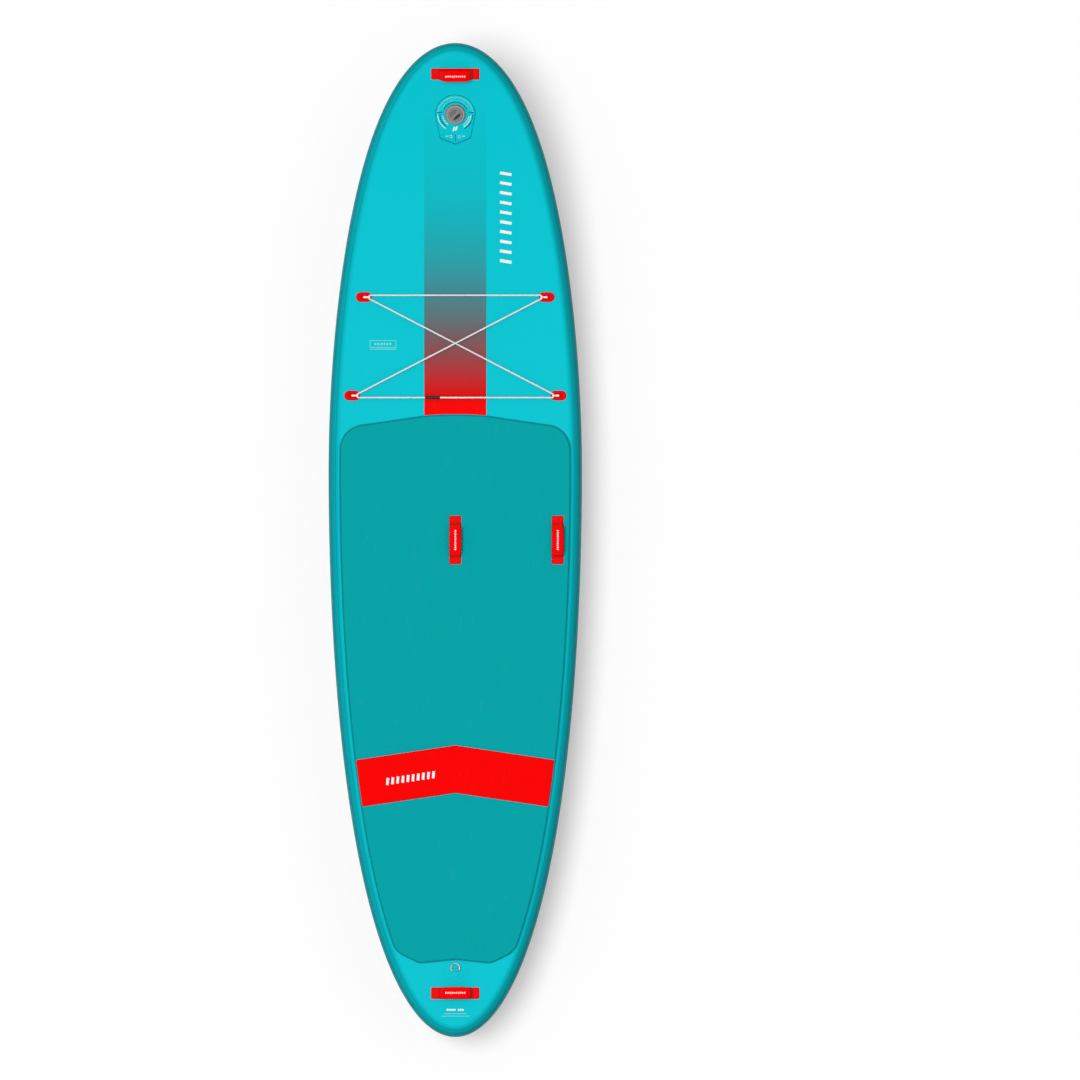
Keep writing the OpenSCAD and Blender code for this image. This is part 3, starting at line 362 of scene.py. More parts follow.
# Fine rubbed lines and specks: noise drawn out along one way, cut to its peaks
def makeScuffs():
    group, given, out = newGroup(
        "fineScuffs",
        [("Vector", "NodeSocketVector", None), ("Length", "NodeSocketFloat", 0.05),
         ("Cover", "NodeSocketFloat", 0.3)],
        [("Mask", "NodeSocketFloat")])
    drawn = addNode(group, "ShaderNodeVectorMath", {0: given.outputs["Vector"], 1: (1.0, 0.12, 0.6)},
                    operation="MULTIPLY")
    lines = addNode(group, "ShaderNodeTexNoise", {
        "Vector": drawn.outputs[0], "Detail": 5.0,
        "Scale": mathNode(group, "DIVIDE", 12.0, given.outputs["Length"])})
    where = addNode(group, "ShaderNodeTexNoise", {
        "Vector": given.outputs["Vector"], "Detail": 2.0,
        "Scale": mathNode(group, "DIVIDE", 1.0, given.outputs["Length"])})
    peaks = addNode(group, "ShaderNodeMapRange", {
        "Value": lines.outputs["Fac"], "From Min": 0.58, "From Max": 0.75})
    spread = addNode(group, "ShaderNodeMapRange", {
        "Value": where.outputs["Fac"], "From Min": 0.45, "From Max": 0.7})
    mask = mathNode(group, "MULTIPLY", mathNode(group, "MULTIPLY", peaks.outputs[0], spread.outputs[0]),
                    given.outputs["Cover"])
    group.links.new(mask, out.inputs["Mask"])
    return group


mottleGroup, weaveGroup, scuffGroup = makeMottle(), makeWeave(), makeScuffs()


def useGroup(tree, group, inputs):
    made = addNode(tree, "ShaderNodeGroup", node_tree=group)
    for key, value in inputs.items():
        if isinstance(value, bpy.types.NodeSocket):
            tree.links.new(value, made.inputs[key])
        else:
            made.inputs[key].default_value = value
    return made


def newMaterial(name):
    material = bpy.data.materials.new(name)
    material.use_nodes = True
    tree = material.node_tree
    return material, tree, tree.nodes["Principled BSDF"]


def mixColor(tree, factor, a, b, blend="MIX"):
    made = addNode(tree, "ShaderNodeMix", data_type="RGBA", blend_type=blend)
    for socket, value in ((made.inputs[0], factor), (made.inputs[6], a), (made.inputs[7], b)):
        if isinstance(value, bpy.types.NodeSocket):
            tree.links.new(value, socket)
        else:
            socket.default_value = value
    return made.outputs[2]


def scaled(tree, color, value):
    base = color if isinstance(color, bpy.types.NodeSocket) else tuple(color)[:3]
    return addNode(tree, "ShaderNodeVectorMath", {0: base, "Scale": value}, operation="SCALE").outputs[0]


def rgba(color):
    return (*color, 1.0)


# Light that bounces off a piece is plain grey, so that it doesn't tint the pale floor
def plainBounce(tree, color):
    bounced = addNode(tree, "ShaderNodeLightPath").outputs["Is Diffuse Ray"]
    return mixColor(tree, bounced, color, (0.3, 0.3, 0.3, 1))


# The finish that most materials share: colour with mottle and scuffs, uneven roughness, and weave and
# grain as bump
def finishSurface(tree, shader, color, look, coords):
    mottle = useGroup(tree, mottleGroup, {"Vector": coords, "Size": look["patch"], "Amount": look["mottle"]})
    scuffs = useGroup(tree, scuffGroup, {
        "Vector": coords, "Length": look["scuffLength"], "Cover": look["scuffs"]})
    shaded = scaled(tree, color, mottle.outputs["Shade"])
    worn = mixColor(tree, scuffs.outputs["Mask"], shaded, look["scuffColor"])
    tree.links.new(plainBounce(tree, worn), shader.inputs["Base Color"])
    rough = addNode(tree, "ShaderNodeMapRange", {
        "Value": mottle.outputs["Mask"], "From Min": 0.3, "From Max": 0.7,
        "To Min": look["rough"] - look["roughSwing"], "To Max": look["rough"] + look["roughSwing"]})
    tree.links.new(rough.outputs[0], shader.inputs["Roughness"])
    shader.inputs["Specular IOR Level"].default_value = look["specular"]
    weave = useGroup(tree, weaveGroup, {
        "Vector": coords, "PitchX": look["pitch"][0], "PitchY": look["pitch"][1]})
    grain = addNode(tree, "ShaderNodeTexNoise", {"Vector": coords, "Scale": 1 / look["grain"], "Detail": 4.0})
    height = mathNode(tree, "MULTIPLY_ADD", grain.outputs["Fac"], look["grainShare"], weave.outputs["Height"])
    bump = addNode(tree, "ShaderNodeBump", {
        "Height": height, "Distance": look["bump"], "Strength": look["bumpStrength"]})
    tree.links.new(bump.outputs[0], shader.inputs["Normal"])


baseLook = {
    "patch": 0.25, "mottle": 0.012, "scuffs": 0.03, "scuffLength": 0.05, "scuffColor": (0.4, 0.62, 0.64, 1),
    "rough": 0.5, "roughSwing": 0.05, "specular": 0.025, "pitch": (0.0011, 0.0011), "grain": 0.0008,
    "grainShare": 0.6, "bump": 0.00006, "bumpStrength": 0.6,
}
foamLook = {
    "patch": 0.12, "mottle": 0.022, "scuffs": 0.03, "scuffLength": 0.08, "scuffColor": (0.35, 0.5, 0.5, 1),
    "rough": 0.85, "roughSwing": 0.05, "specular": 0.04, "pitch": (0.0016, 0.0016), "grain": 0.0012,
    "grainShare": 2.0, "bump": 0.0003, "bumpStrength": 0.5,
}
mouldedLook = {
    "patch": 0.03, "mottle": 0.05, "scuffs": 0.15, "scuffLength": 0.02, "rough": 0.45, "roughSwing": 0.07,
    "specular": 0.25, "pitch": (0.0007, 0.0007), "grain": 0.0006, "grainShare": 3.0, "bump": 0.00004,
}
clothLook = {
    "patch": 0.05, "mottle": 0.04, "rough": 0.85, "specular": 0.1, "pitch": (0.0008, 0.0008), "bump": 0.0002,
}
turquoise, teal, red = (0.0018, 0.565, 0.645), (0.0015, 0.371, 0.392), (0.98, 0.0008, 0.0008)
railTurquoise, hullTeal, black = (0.0018, 0.52, 0.59), (0.001, 0.405, 0.417), (0.0035, 0.0035, 0.004)


def objectCoords(tree):
    return addNode(tree, "ShaderNodeTexCoord").outputs["Object"]


def uvCoords(tree):
    return addNode(tree, "ShaderNodeTexCoord").outputs["UV"]


def plainMaterial(name, color, coords=objectCoords, **look):
    material, tree, shader = newMaterial(name)
    where = coords(tree)
    finishSurface(tree, shader, rgba(color), {**baseLook, **look}, where)
    return material


# Deck: turquoise, with the centre stripe that fades from turquoise at the nose to red at the pad
deckStripe = {
    "half": 0.1, "start": 0.425, "end": 1.429, "cut": 0.36,
    "colors": [  # station, colour as it is seen
        (0.425, (255, 0, 0)), (0.464, (222, 10, 10)), (0.502, (202, 36, 37)), (0.541, (181, 54, 56)),
        (0.579, (157, 69, 72)), (0.618, (137, 83, 87)), (0.657, (119, 95, 101)), (0.695, (103, 109, 115)),
        (0.734, (89, 120, 126)), (0.811, (64, 140, 148)), (0.889, (45, 158, 166)), (0.966, (30, 170, 179)),
        (1.043, (20, 180, 190)), (1.12, (13, 187, 197)), (1.236, (8, 192, 203)), (1.429, (8, 198, 210))],
}


# Linear value of a display colour: ((c + 0.055) / 1.055)^2.4, or c / 12.92 where it is dark
def linearColor(color):
    c = np.array(color, float) / 255
    return np.where(c > 0.04045, ((c + 0.055) / 1.055) ** 2.4, c / 12.92)


def makeDeckMaterial():
    material, tree, shader = newMaterial("deckPrintedPvc")
    coords = objectCoords(tree)
    axes = addNode(tree, "ShaderNodeSeparateXYZ", {0: coords})
    way = addNode(tree, "ShaderNodeMapRange", {
        "Value": axes.outputs[1], "From Min": deckStripe["start"], "From Max": deckStripe["end"]})
    ramp = addNode(tree, "ShaderNodeValToRGB", {"Fac": way.outputs[0]})
    stops = ramp.color_ramp.elements
    span = deckStripe["end"] - deckStripe["start"]
    for k, (y, color) in enumerate(deckStripe["colors"]):
        place = (y - deckStripe["start"]) / span
        stop = stops[0] if k == 0 else stops[-1] if k == len(deckStripe["colors"]) - 1 else stops.new(place)
        stop.position = place
        stop.color = rgba(linearColor(color))
    inside = mathNode(tree, "MULTIPLY", mathNode(
        tree, "LESS_THAN", mathNode(tree, "ABSOLUTE", axes.outputs[0]), deckStripe["half"]), mathNode(
        tree, "GREATER_THAN", axes.outputs[1], deckStripe["cut"]))
    color = mixColor(tree, inside, rgba(turquoise), ramp.outputs["Color"])
    finishSurface(tree, shader, color, baseLook, coords)
    return material


# Rail layers, by the UV map's V: one colour above the rail's middle and one below it, with a dark line at
# the seam, and a painted shade that rises from deep to pale between the two distances in reach, so that the
# rail is painted darker towards its outer middle, as if turned away from the light
def makeRailMaterial(name, upper, lower, seam, deep, pale, reach=(0.018, 0.062)):
    material, tree, shader = newMaterial(name)
    coords = objectCoords(tree)
    around = addNode(tree, "ShaderNodeSeparateXYZ", {0: uvCoords(tree)}).outputs[1]
    color = mixColor(tree, mathNode(tree, "GREATER_THAN", around, 0.0), rgba(lower), rgba(upper))
    away = mathNode(tree, "ABSOLUTE", mathNode(tree, "SUBTRACT", mathNode(tree, "ABSOLUTE", around), seam))
    line = addNode(tree, "ShaderNodeMapRange", {
        "Value": away, "From Max": 0.0022, "To Min": 0.72, "To Max": 1.0})
    # depth: painted shade, deepest at the lower distance in reach and pale at the higher
    depth = addNode(tree, "ShaderNodeMapRange", {
        "Value": mathNode(tree, "ABSOLUTE", around), "From Min": reach[0], "From Max": reach[1],
        "To Min": deep, "To Max": pale})
    shade = mathNode(tree, "MULTIPLY", line.outputs[0], depth.outputs[0])
    finishSurface(tree, shader, scaled(tree, color, shade), baseLook, coords)
    return material


# Webbing: ribs along the strap and a cross weave, with painted light and shade that follow the weave, lighter
# on the raised threads and darker where they dip
def makeWebbing(name, color, coords=uvCoords, **changes):
    material, tree, shader = newMaterial(name)
    coords = coords(tree)
    look = {**baseLook, "patch": 0.02, "mottle": 0.05, "rough": 0.72, "roughSwing": 0.05, "specular": 0.12,
            "pitch": (0.0024, 0.0016), "grain": 0.0004, "bump": 0.0003, "bumpStrength": 0.8,
            "scuffLength": 0.01, "scuffs": 0.12, **changes}
    weave = useGroup(tree, weaveGroup, {
        "Vector": coords, "PitchX": look["pitch"][0], "PitchY": look["pitch"][1]})
    lit = addNode(tree, "ShaderNodeMapRange", {
        "Value": weave.outputs["Height"], "To Min": 0.8, "To Max": 1.06})
    finishSurface(tree, shader, scaled(tree, rgba(color), lit.outputs[0]), look, coords)
    return material


# Braided sleeve: two sets of strands that cross round the cord, with coloured flecks
def makeBraid():
    material, tree, shader = newMaterial("bungeeBraid")
    coords = uvCoords(tree)
    axes = addNode(tree, "ShaderNodeSeparateXYZ", {0: coords})
    along = mathNode(tree, "MULTIPLY", axes.outputs[0], 2 * math.pi / 0.006)
    around = mathNode(tree, "MULTIPLY", axes.outputs[1], 2 * math.pi * 4)
    first = mathNode(tree, "SINE", mathNode(tree, "ADD", along, around))
    second = mathNode(tree, "SINE", mathNode(tree, "SUBTRACT", along, around))
    strands = mathNode(tree, "MAXIMUM", first, second)
    # painted shade: darker between the strands, full colour on their crowns
    shade = addNode(tree, "ShaderNodeMapRange", {
        "Value": strands, "From Min": -0.6, "To Min": 0.82, "To Max": 1.0})
    fleck = mathNode(tree, "GREATER_THAN", mathNode(tree, "SINE", mathNode(
        tree, "MULTIPLY_ADD", axes.outputs[0], 2 * math.pi / 0.024, around)), 0.93)
    color = mixColor(tree, fleck, (0.98, 1.0, 1.0, 1), (0.4, 0.55, 0.57, 1))
    tree.links.new(plainBounce(tree, scaled(tree, color, shade.outputs[0])), shader.inputs["Base Color"])
    rough = addNode(tree, "ShaderNodeMapRange", {"Value": strands, "To Min": 0.75, "To Max": 0.6})
    tree.links.new(rough.outputs[0], shader.inputs["Roughness"])
    shader.inputs["Specular IOR Level"].default_value = 0.1
    bump = addNode(tree, "ShaderNodeBump", {"Height": strands, "Distance": 0.0004, "Strength": 0.8})
    tree.links.new(bump.outputs[0], shader.inputs["Normal"])
    return material


# A finish with a second colour where the piece's own mark says so: painted shade in a recess or hollow, or a
# painted highlight along a rib or edge
def markedMaterial(name, color, marked, **look):
    material, tree, shader = newMaterial(name)
    mark = addNode(tree, "ShaderNodeAttribute", attribute_name="mark").outputs["Fac"]
    both = mixColor(tree, mark, rgba(color), rgba(marked))
    finishSurface(tree, shader, both, {**baseLook, **look}, objectCoords(tree))
    return material


# Metal: brushed lines in the roughness and a faint tint
def makeMetal(name, color, rough, line):
    material, tree, shader = newMaterial(name)
    coords = objectCoords(tree)
    mottle = useGroup(tree, mottleGroup, {"Vector": coords, "Size": 0.008, "Amount": 0.05})
    tree.links.new(scaled(tree, rgba(color), mottle.outputs["Shade"]), shader.inputs["Base Color"])
    shader.inputs["Metallic"].default_value = 1.0
    drawn = addNode(tree, "ShaderNodeVectorMath", {0: coords, 1: (1.0, line, 1.0)}, operation="MULTIPLY")
    lines = addNode(tree, "ShaderNodeTexNoise", {"Vector": drawn.outputs[0], "Scale": 900.0, "Detail": 3.0})
    spread = addNode(tree, "ShaderNodeMapRange", {
        "Value": lines.outputs["Fac"], "To Min": rough - 0.06, "To Max": rough + 0.1})
    tree.links.new(spread.outputs[0], shader.inputs["Roughness"])
    bump = addNode(tree, "ShaderNodeBump", {
        "Height": lines.outputs["Fac"], "Distance": 0.00002, "Strength": 0.5})
    tree.links.new(bump.outputs[0], shader.inputs["Normal"])
    return material


materials = {
    "deck": makeDeckMaterial(),
    "turquoise": plainMaterial("turquoisePvc", turquoise),
    # Rail cover, stripe and wall: deep and pale set the painted shade across each layer
    "railCover": makeRailMaterial("railCoverPvc", railTurquoise, railTurquoise, 0.0628, 0.62, 0.88),
    "railStripe": makeRailMaterial("railStripePvc", railTurquoise, railTurquoise, 0.0344, 0.62, 0.88),
    "wall": makeRailMaterial("railWallPvc", turquoise, teal, 0.0635, 0.77, 0.98, (0.0628, 0.088)),
    "teal": plainMaterial("tealPvc", hullTeal, mottle=0.025),
    "red": plainMaterial("redPvc", red, patch=0.05, scuffColor=(0.9, 0.2, 0.18, 1)),
    # anchor: the marked colour is painted shade in the pad's recess and slot
    "anchor": markedMaterial("anchorPvc", (0.8, 0.002, 0.003), (0.6, 0.003, 0.004), patch=0.03, mottle=0.04),
    "foamTeal": plainMaterial("foamTeal", teal, **foamLook),
    "foamRed": plainMaterial("foamRed", red, **{**foamLook, "scuffColor": (0.9, 0.2, 0.18, 1)}),
    "webRed": makeWebbing("redWebbing", (1.0, 0.001, 0.001), scuffColor=(0.95, 0.2, 0.18, 1)),
    "nosePatch": makeWebbing("diamondPatch", turquoise, coords=objectCoords, pitch=(0.0042, 0.0042),
                             rough=0.55, specular=0.03, scuffs=0.02, mottle=0.02, patch=0.1, bump=0.0001),
    "webWhite": makeWebbing("whiteWebbing", (0.98, 0.99, 0.99), pitch=(0.0016, 0.0012)),
    "webTurquoise": makeWebbing("turquoiseWebbing", (0.003, 0.62, 0.71)),
    "neoprene": plainMaterial("redNeoprene", red, **{
        **foamLook, "scuffColor": (0.95, 0.25, 0.22, 1), "patch": 0.04}),
    "threadRed": plainMaterial("redThread", (0.75, 0.002, 0.003), patch=0.01, rough=0.7),
    "braid": makeBraid(),
    "joiner": plainMaterial("blackJoiner", (0.012, 0.014, 0.015), **mouldedLook),
    "valveGrey": plainMaterial("greyValve", (0.2, 0.155, 0.145), **mouldedLook),
    # valve cap: the marked colour is painted shade in the cap's hollows and grooves
    "valveLight": markedMaterial("valveCapGrey", (0.335, 0.315, 0.3), (0.02, 0.021, 0.024), **mouldedLook),
    "valveWhite": plainMaterial("whiteValve", (0.72, 0.72, 0.7), **mouldedLook),
    "rubber": plainMaterial("blackSeal", (0.02, 0.02, 0.021), **{**mouldedLook, "rough": 0.6}),
    "spring": makeMetal("springSteel", (0.62, 0.62, 0.62), 0.3, 0.2),
    "ring": makeMetal("ringSteel", (0.36, 0.31, 0.3), 0.3, 0.3),
    # fin base: the marked colour is a painted highlight on the ribs
    "fin": markedMaterial("finBlack", black, (0.045, 0.044, 0.044),
                          **{**mouldedLook, "rough": 0.45, "specular": 0.08, "scuffs": 0.05}),
    # fin blade: the marked colour is a painted highlight along the leading edge
    "finBlade": markedMaterial("finBladeBlack", (0.008, 0.008, 0.009), (0.3, 0.3, 0.31),
                               **{**mouldedLook, "rough": 0.4, "specular": 0.12, "scuffs": 0.05}),
    "coreCloth": plainMaterial("coreCloth", (0.76, 0.76, 0.73), **clothLook),
    "thread": plainMaterial("dropThread", (0.8, 0.8, 0.78), **clothLook),
    # painted shadow on the deck round the pads
    "margin": plainMaterial("padShadowPaint", (0.0012, 0.262, 0.3)),
    "inkWhite": plainMaterial("whiteInk", (0.9, 0.92, 0.92), rough=0.5, mottle=0.01),
    "inkPale": plainMaterial("paleInk", (0.25, 0.72, 0.76), rough=0.5, mottle=0.01),
    # painted shade along the valve patch's edge
    "patchEdgeShade": plainMaterial("patchEdgeShadePaint", (0.002, 0.13, 0.16), rough=0.5, mottle=0.01),
    "inkBlack": plainMaterial("blackInk", (0.002, 0.012, 0.015), rough=0.5, mottle=0.01),
}
print("materials made")

# Skins and rails

valve = {"y": 1.371, "base": 0.002, "hole": 0.0215}
skin = {"thickness": 0.0015}
skinColumns = np.concatenate([
    np.linspace(-1, -0.18, 14), np.linspace(-0.15, 0.15, 11), np.linspace(0.18, 1, 14)])


# Flat skin: x = share * half width, z = height of the board at that station
def skinPoints(z):
    x = skinColumns[None] * sideXY[:, :1]
    y = np.repeat(sideXY[:, 1:], len(skinColumns), 1)
    return np.stack([x, y, z + boardHeight(y)], -1)


deckPoints = skinPoints(deckZ)
nearValve = np.hypot(deckPoints[..., 0], deckPoints[..., 1] - valve["y"]) < valve["hole"]
cellKeep = ~(nearValve[:-1, :-1] | nearValve[1:, :-1] | nearValve[:-1, 1:] | nearValve[1:, 1:])
addPiece("deckSkin", [gridPart(deckPoints, keep=cellKeep, flip=True)], materials["deck"],
         ["deck_skin"], outward=False, thickness=skin["thickness"])
addPiece("hullSkin", [gridPart(skinPoints(board["hullZ"]))], materials["teal"],
         ["hull_skin"], outward=False, thickness=skin["thickness"])

rail = {
    "wall": {"reach": 0.0384, "half": 0.075, "angle": 90, "steps": 37, "thickness": 0.002},
    "cover": {"reach": 0.0392, "half": 0.0758, "angle": 62, "steps": 25, "thickness": 0.0008},
    "stripe": {"reach": 0.04, "half": 0.0766, "angle": 34, "steps": 15, "thickness": 0.0008},
}
loopLength = np.concatenate([[0], np.cumsum(np.linalg.norm(np.roll(loopXY, -1, 0) - loopXY, axis=1))])


# A layer of the rail: centre + reach cos t * normal, at middle height + half sin t
def railPart(layer):
    t = np.radians(np.linspace(-layer["angle"], layer["angle"], layer["steps"]))
    xy = loopXY[:, None] + layer["reach"] * np.cos(t)[None, :, None] * loopNormal[:, None]
    z = midZ + boardHeight(xy[..., 1]) + layer["half"] * np.sin(t)
    return gridPart(np.concatenate([xy, z[..., None]], -1), wrapRows=True, u=loopLength, v=t * 0.058)


for key, material, slot in (("wall", "wall", "pvc_teal"), ("cover", "railCover", "pvc_turquoise"),
                            ("stripe", "railStripe", "pvc_turquoise")):
    addPiece("rail" + key.capitalize(), [railPart(rail[key])], materials[material],
             [f"rail_{key}_port", f"rail_{key}_starboard"], outward=False, thickness=rail[key]["thickness"],
             bevel=None if key == "wall" else 0.0003)
print("skins and rails made")

# Foam pads

pads = {
    "thickness": 0.005, "bevel": 0.0022, "gap": 0.003, "frontY": 0.4, "archFall": 0.0045, "archHalf": 0.1,
    "frontSlope": 0.1476,
    "cornerX": 0.2905, "cornerRadius": 0.077, "cornerY": 0.29, "chevronY": -0.661, "chevronLength": 0.1535,
    "slope": 0.148, "rearY": -1.347, "rearDrop": 0.012, "rearHalf": 0.115, "rearSlope": 0.5,
    "windowX": 0.02, "windowY": 0.079, "sideWindow": 0.33, "margin": 0.006,
}


# Front edge: a shallow parabola, then a straight fall, drawn down to the corner by the root of 1 - s^2
def padFront(x):
    s = np.clip((np.abs(x) - pads["cornerX"]) / pads["cornerRadius"], 0, 1)
    way = np.minimum(np.abs(x), pads["cornerX"])
    fall = np.where(way < pads["archHalf"], pads["archFall"] * (way / pads["archHalf"]) ** 2,
                    pads["archFall"] + pads["frontSlope"] * (way - pads["archHalf"]))
    return pads["cornerY"] + (pads["frontY"] - fall - pads["cornerY"]) * np.sqrt(1 - s * s)


def chevronEdge(y):
    return lambda x: y - pads["slope"] * np.abs(x)


def padRear(x):
    inner = pads["rearY"] - pads["rearDrop"] * np.abs(x) / pads["rearHalf"]
    outer = pads["rearY"] - pads["rearDrop"] + pads["rearSlope"] * (np.abs(x) - pads["rearHalf"])
    return np.where(np.abs(x) < pads["rearHalf"], inner, outer)


# Station at which an edge meets the inner side of the rail
def meetsSide(edge, y):
    for _ in range(60):
        y = 0.5 * y + 0.5 * float(edge(flatHalf(y)))
    return y


def padPoints(x, y):
    return np.stack([x, y, deckZ + boardHeight(y) + pads["thickness"]], -1)


# Pad across the whole deck: each row runs from side to side, between the front and the rear edge
def acrossPad(front, rear, yFront, yRear, columns, rows):
    v = rows[:, None]
    half = flatHalf(yFront + v * (yRear - yFront))
    x = columns[None] * half
    y = (1 - v) * front(columns * half[0]) + v * rear(columns * half[-1])
    return gridPart(padPoints(x, y))


def makeFrontPad():
    wide = pads["sideWindow"] + pads["windowX"]
    corner, radius = pads["cornerX"], pads["cornerRadius"]
    turn = math.asin((wide - corner) / radius)
    inner = np.linspace(pads["windowX"], corner, 15)
    right = np.concatenate([inner, [0.2995, 0.31, 0.32, 0.33, 0.34, wide],
                            corner + radius * np.sin(np.linspace(turn, math.pi / 2, 7))[1:]])
    left = -np.concatenate([inner, corner + radius * np.sin(np.linspace(0, math.pi / 2, 13))[1:]])
    c = np.concatenate([left[::-1], [0], right])
    full, middle = c[-1], (c[:-1] + c[1:]) / 2

    # Columns stay put beside the windows and follow the rail further back
    def padX(half, follow):
        fixed = np.where(np.abs(c) <= wide, c, np.sign(c) * (
            wide + (np.abs(c) - wide) * (half - wide) / (full - wide)))
        return (1 - follow) * fixed + follow * c * half / full

    y0 = pads["windowY"]
    v = np.linspace(0, 1, 20)[:, None]
    x = padX(flatHalf(y0 + v * (pads["cornerY"] - y0)), 0)
    ahead = gridPart(padPoints(x, y0 + v * (padFront(x[-1]) - y0)), flip=True)
    y = np.linspace(y0, -y0, 13)[:, None]
    window = (np.abs(middle) < pads["windowX"]) | (np.abs(middle - pads["sideWindow"]) < pads["windowX"])
    beside = gridPart(padPoints(padX(flatHalf(y), 0), np.repeat(y, len(c), 1)),
                      keep=np.repeat(~window[None], 12, 0))
    edge = chevronEdge(pads["chevronY"] + pads["gap"])
    end = meetsSide(edge, pads["chevronY"])
    v = np.linspace(0, 1, 36)[:, None]
    sideY = -y0 + v * (end + y0)
    x = padX(flatHalf(sideY), np.clip((-y0 - sideY) / 0.12, 0, 1))
    behind = gridPart(padPoints(x, -y0 + v * (edge(x[-1]) + y0)))
    return [ahead, beside, behind]


chevronFront = chevronEdge(pads["chevronY"])
chevronRear = chevronEdge(pads["chevronY"] - pads["chevronLength"])
rearFront = chevronEdge(pads["chevronY"] - pads["chevronLength"] - pads["gap"])
yRear = meetsSide(padRear, -1.3)
tip = pads["rearHalf"] / float(flatHalf(yRear))
evenColumns, evenRows = np.linspace(-1, 1, 33), np.linspace(0, 1, 10)
halfColumns = np.unique(np.concatenate([
    np.linspace(0, tip - 0.08, 7), np.linspace(tip - 0.08, tip + 0.08, 13), np.linspace(tip + 0.08, 0.86, 6),
    np.linspace(0.86, 1, 12)]))
tipColumns = np.concatenate([-halfColumns[:0:-1], halfColumns])
tipRows = np.concatenate([np.linspace(0, 0.9, 22), np.linspace(0.91, 1, 14)])


# Rounded corner: with a and b measured along its two edges, points move in by
# reach / 4 * (1 - a / reach)^2 * (1 - b / reach)^2
def roundCorner(xy, corner, toA, toB, reach):
    edges = np.stack([np.asarray(e, float) / np.linalg.norm(e) for e in (toA, toB)])
    ab = (xy - corner) @ np.linalg.inv(edges)
    weight = (np.clip(1 - np.abs(ab) / reach, 0, 1) ** 2).prod(-1, keepdims=True)
    return xy + reach / 4 * weight * edges.sum(0)


def roundedRearXY(xy):
    half, tipY = float(flatHalf(yRear)), pads["rearY"] - pads["rearDrop"]
    sideStep = float(flatHalf(yRear + 0.03)) - half
    for sign in (-1, 1):
        xy = roundCorner(xy, [sign * half, yRear], (-sign, -pads["rearSlope"]),
                         (sign * sideStep, 0.03), 0.024)
        xy = roundCorner(xy, [sign * pads["rearHalf"], tipY], (-sign, pads["rearDrop"] / pads["rearHalf"]),
                         (sign, pads["rearSlope"]), 0.014)
    return xy


def roundedRear(part):
    points = part["points"].copy()
    points[:, :2] = roundedRearXY(points[:, :2])
    return {**part, "points": points}


padParts = {
    "frontPad": (makeFrontPad(), "foamTeal", "foam_teal", "front_pad"),
    "chevronPad": ([acrossPad(chevronFront, chevronRear, meetsSide(chevronFront, -0.7),
                              meetsSide(chevronRear, -0.85), evenColumns, evenRows)],
                   "foamRed", "foam_red", "chevron_pad"),
    "rearPad": ([roundedRear(acrossPad(rearFront, padRear, meetsSide(rearFront, -0.86), yRear,
                                       tipColumns, tipRows))],
                "foamTeal", "foam_teal", "rear_pad"),
}
for name, (parts, material, slot, node) in padParts.items():
    pad = addPiece(name, parts, materials[material], [node], outward=False,
                   thickness=pads["thickness"], bevel=pads["bevel"])


# Painted shadow: a dark line on the deck right round the pads, the deck's turquoise darkened where the pads'
# edges shade it
def padShadowLine():
    full = pads["cornerX"] + pads["cornerRadius"]
    bow = np.linspace(-pads["cornerX"], pads["cornerX"], 60)
    q = np.linspace(0, math.pi / 2, 14)[:-1]
    cornerXs = pads["cornerX"] + pads["cornerRadius"] * np.sin(q)
    front = np.concatenate([cornerXs[:0:-1], -bow, -cornerXs[1:]])
    frontXY = np.column_stack([front, padFront(front)])
    sideY = np.linspace(pads["cornerY"], yRear, 110)
    side = np.column_stack([flatHalf(sideY), sideY])
    rearX = tipColumns * float(flatHalf(yRear))
    rear = np.column_stack([rearX, padRear(rearX)])[1:-1]
    loop = roundedRearXY(np.concatenate([frontXY, side * [-1, 1], rear, side[::-1]]))
    along = np.roll(loop, -1, 0) - np.roll(loop, 1, 0)
    out = np.column_stack([along[:, 1], -along[:, 0]]) / np.linalg.norm(along, axis=1, keepdims=True)
    xy = loop + out * (pads["margin"] / 2 - 0.0004)
    z = deckZ + boardHeight(xy[:, 1]) + 0.0001
    return sweepPart(np.column_stack([xy, z]), bandSection(pads["margin"], 0.0008), closed=True)


# the painted shadow line round the pads
addPiece("padShadowLine", [padShadowLine()], materials["margin"])
print("pads made")

# Small helpers for straps, stitches and printed bars


# A bent line as even steps, with its corners softened by averaging over a short window
def softened(points, step=0.001, window=5):
    points = np.asarray(points, float)
    length = np.concatenate([[0], np.cumsum(np.linalg.norm(np.diff(points, axis=0), axis=1))])
    at = np.linspace(0, length[-1], int(length[-1] / step) + 2)
    line = np.stack([np.interp(at, length, points[:, k]) for k in range(points.shape[1])], -1)
    half = window // 2
    padded = np.concatenate([2 * line[:1] - line[half:0:-1], line, 2 * line[-1:] - line[-2:-half - 2:-1]])
    return np.stack([np.convolve(padded[:, k], np.ones(2 * half + 1) / (2 * half + 1), "valid")
                     for k in range(points.shape[1])], -1)


# Many small bars: a box with bevelled top, laid along each direction in the local plane
barShape = np.array([[-1, -1, 0], [1, -1, 0], [1, 1, 0], [-1, 1, 0],
                     [-0.8, -0.6, 1], [0.8, -0.6, 1], [0.8, 0.6, 1], [-0.8, 0.6, 1]], float)
barFaces = np.array([[0, 3, 2, 1], [4, 5, 6, 7], [0, 1, 5, 4], [1, 2, 6, 5], [2, 3, 7, 6], [3, 0, 4, 7]])


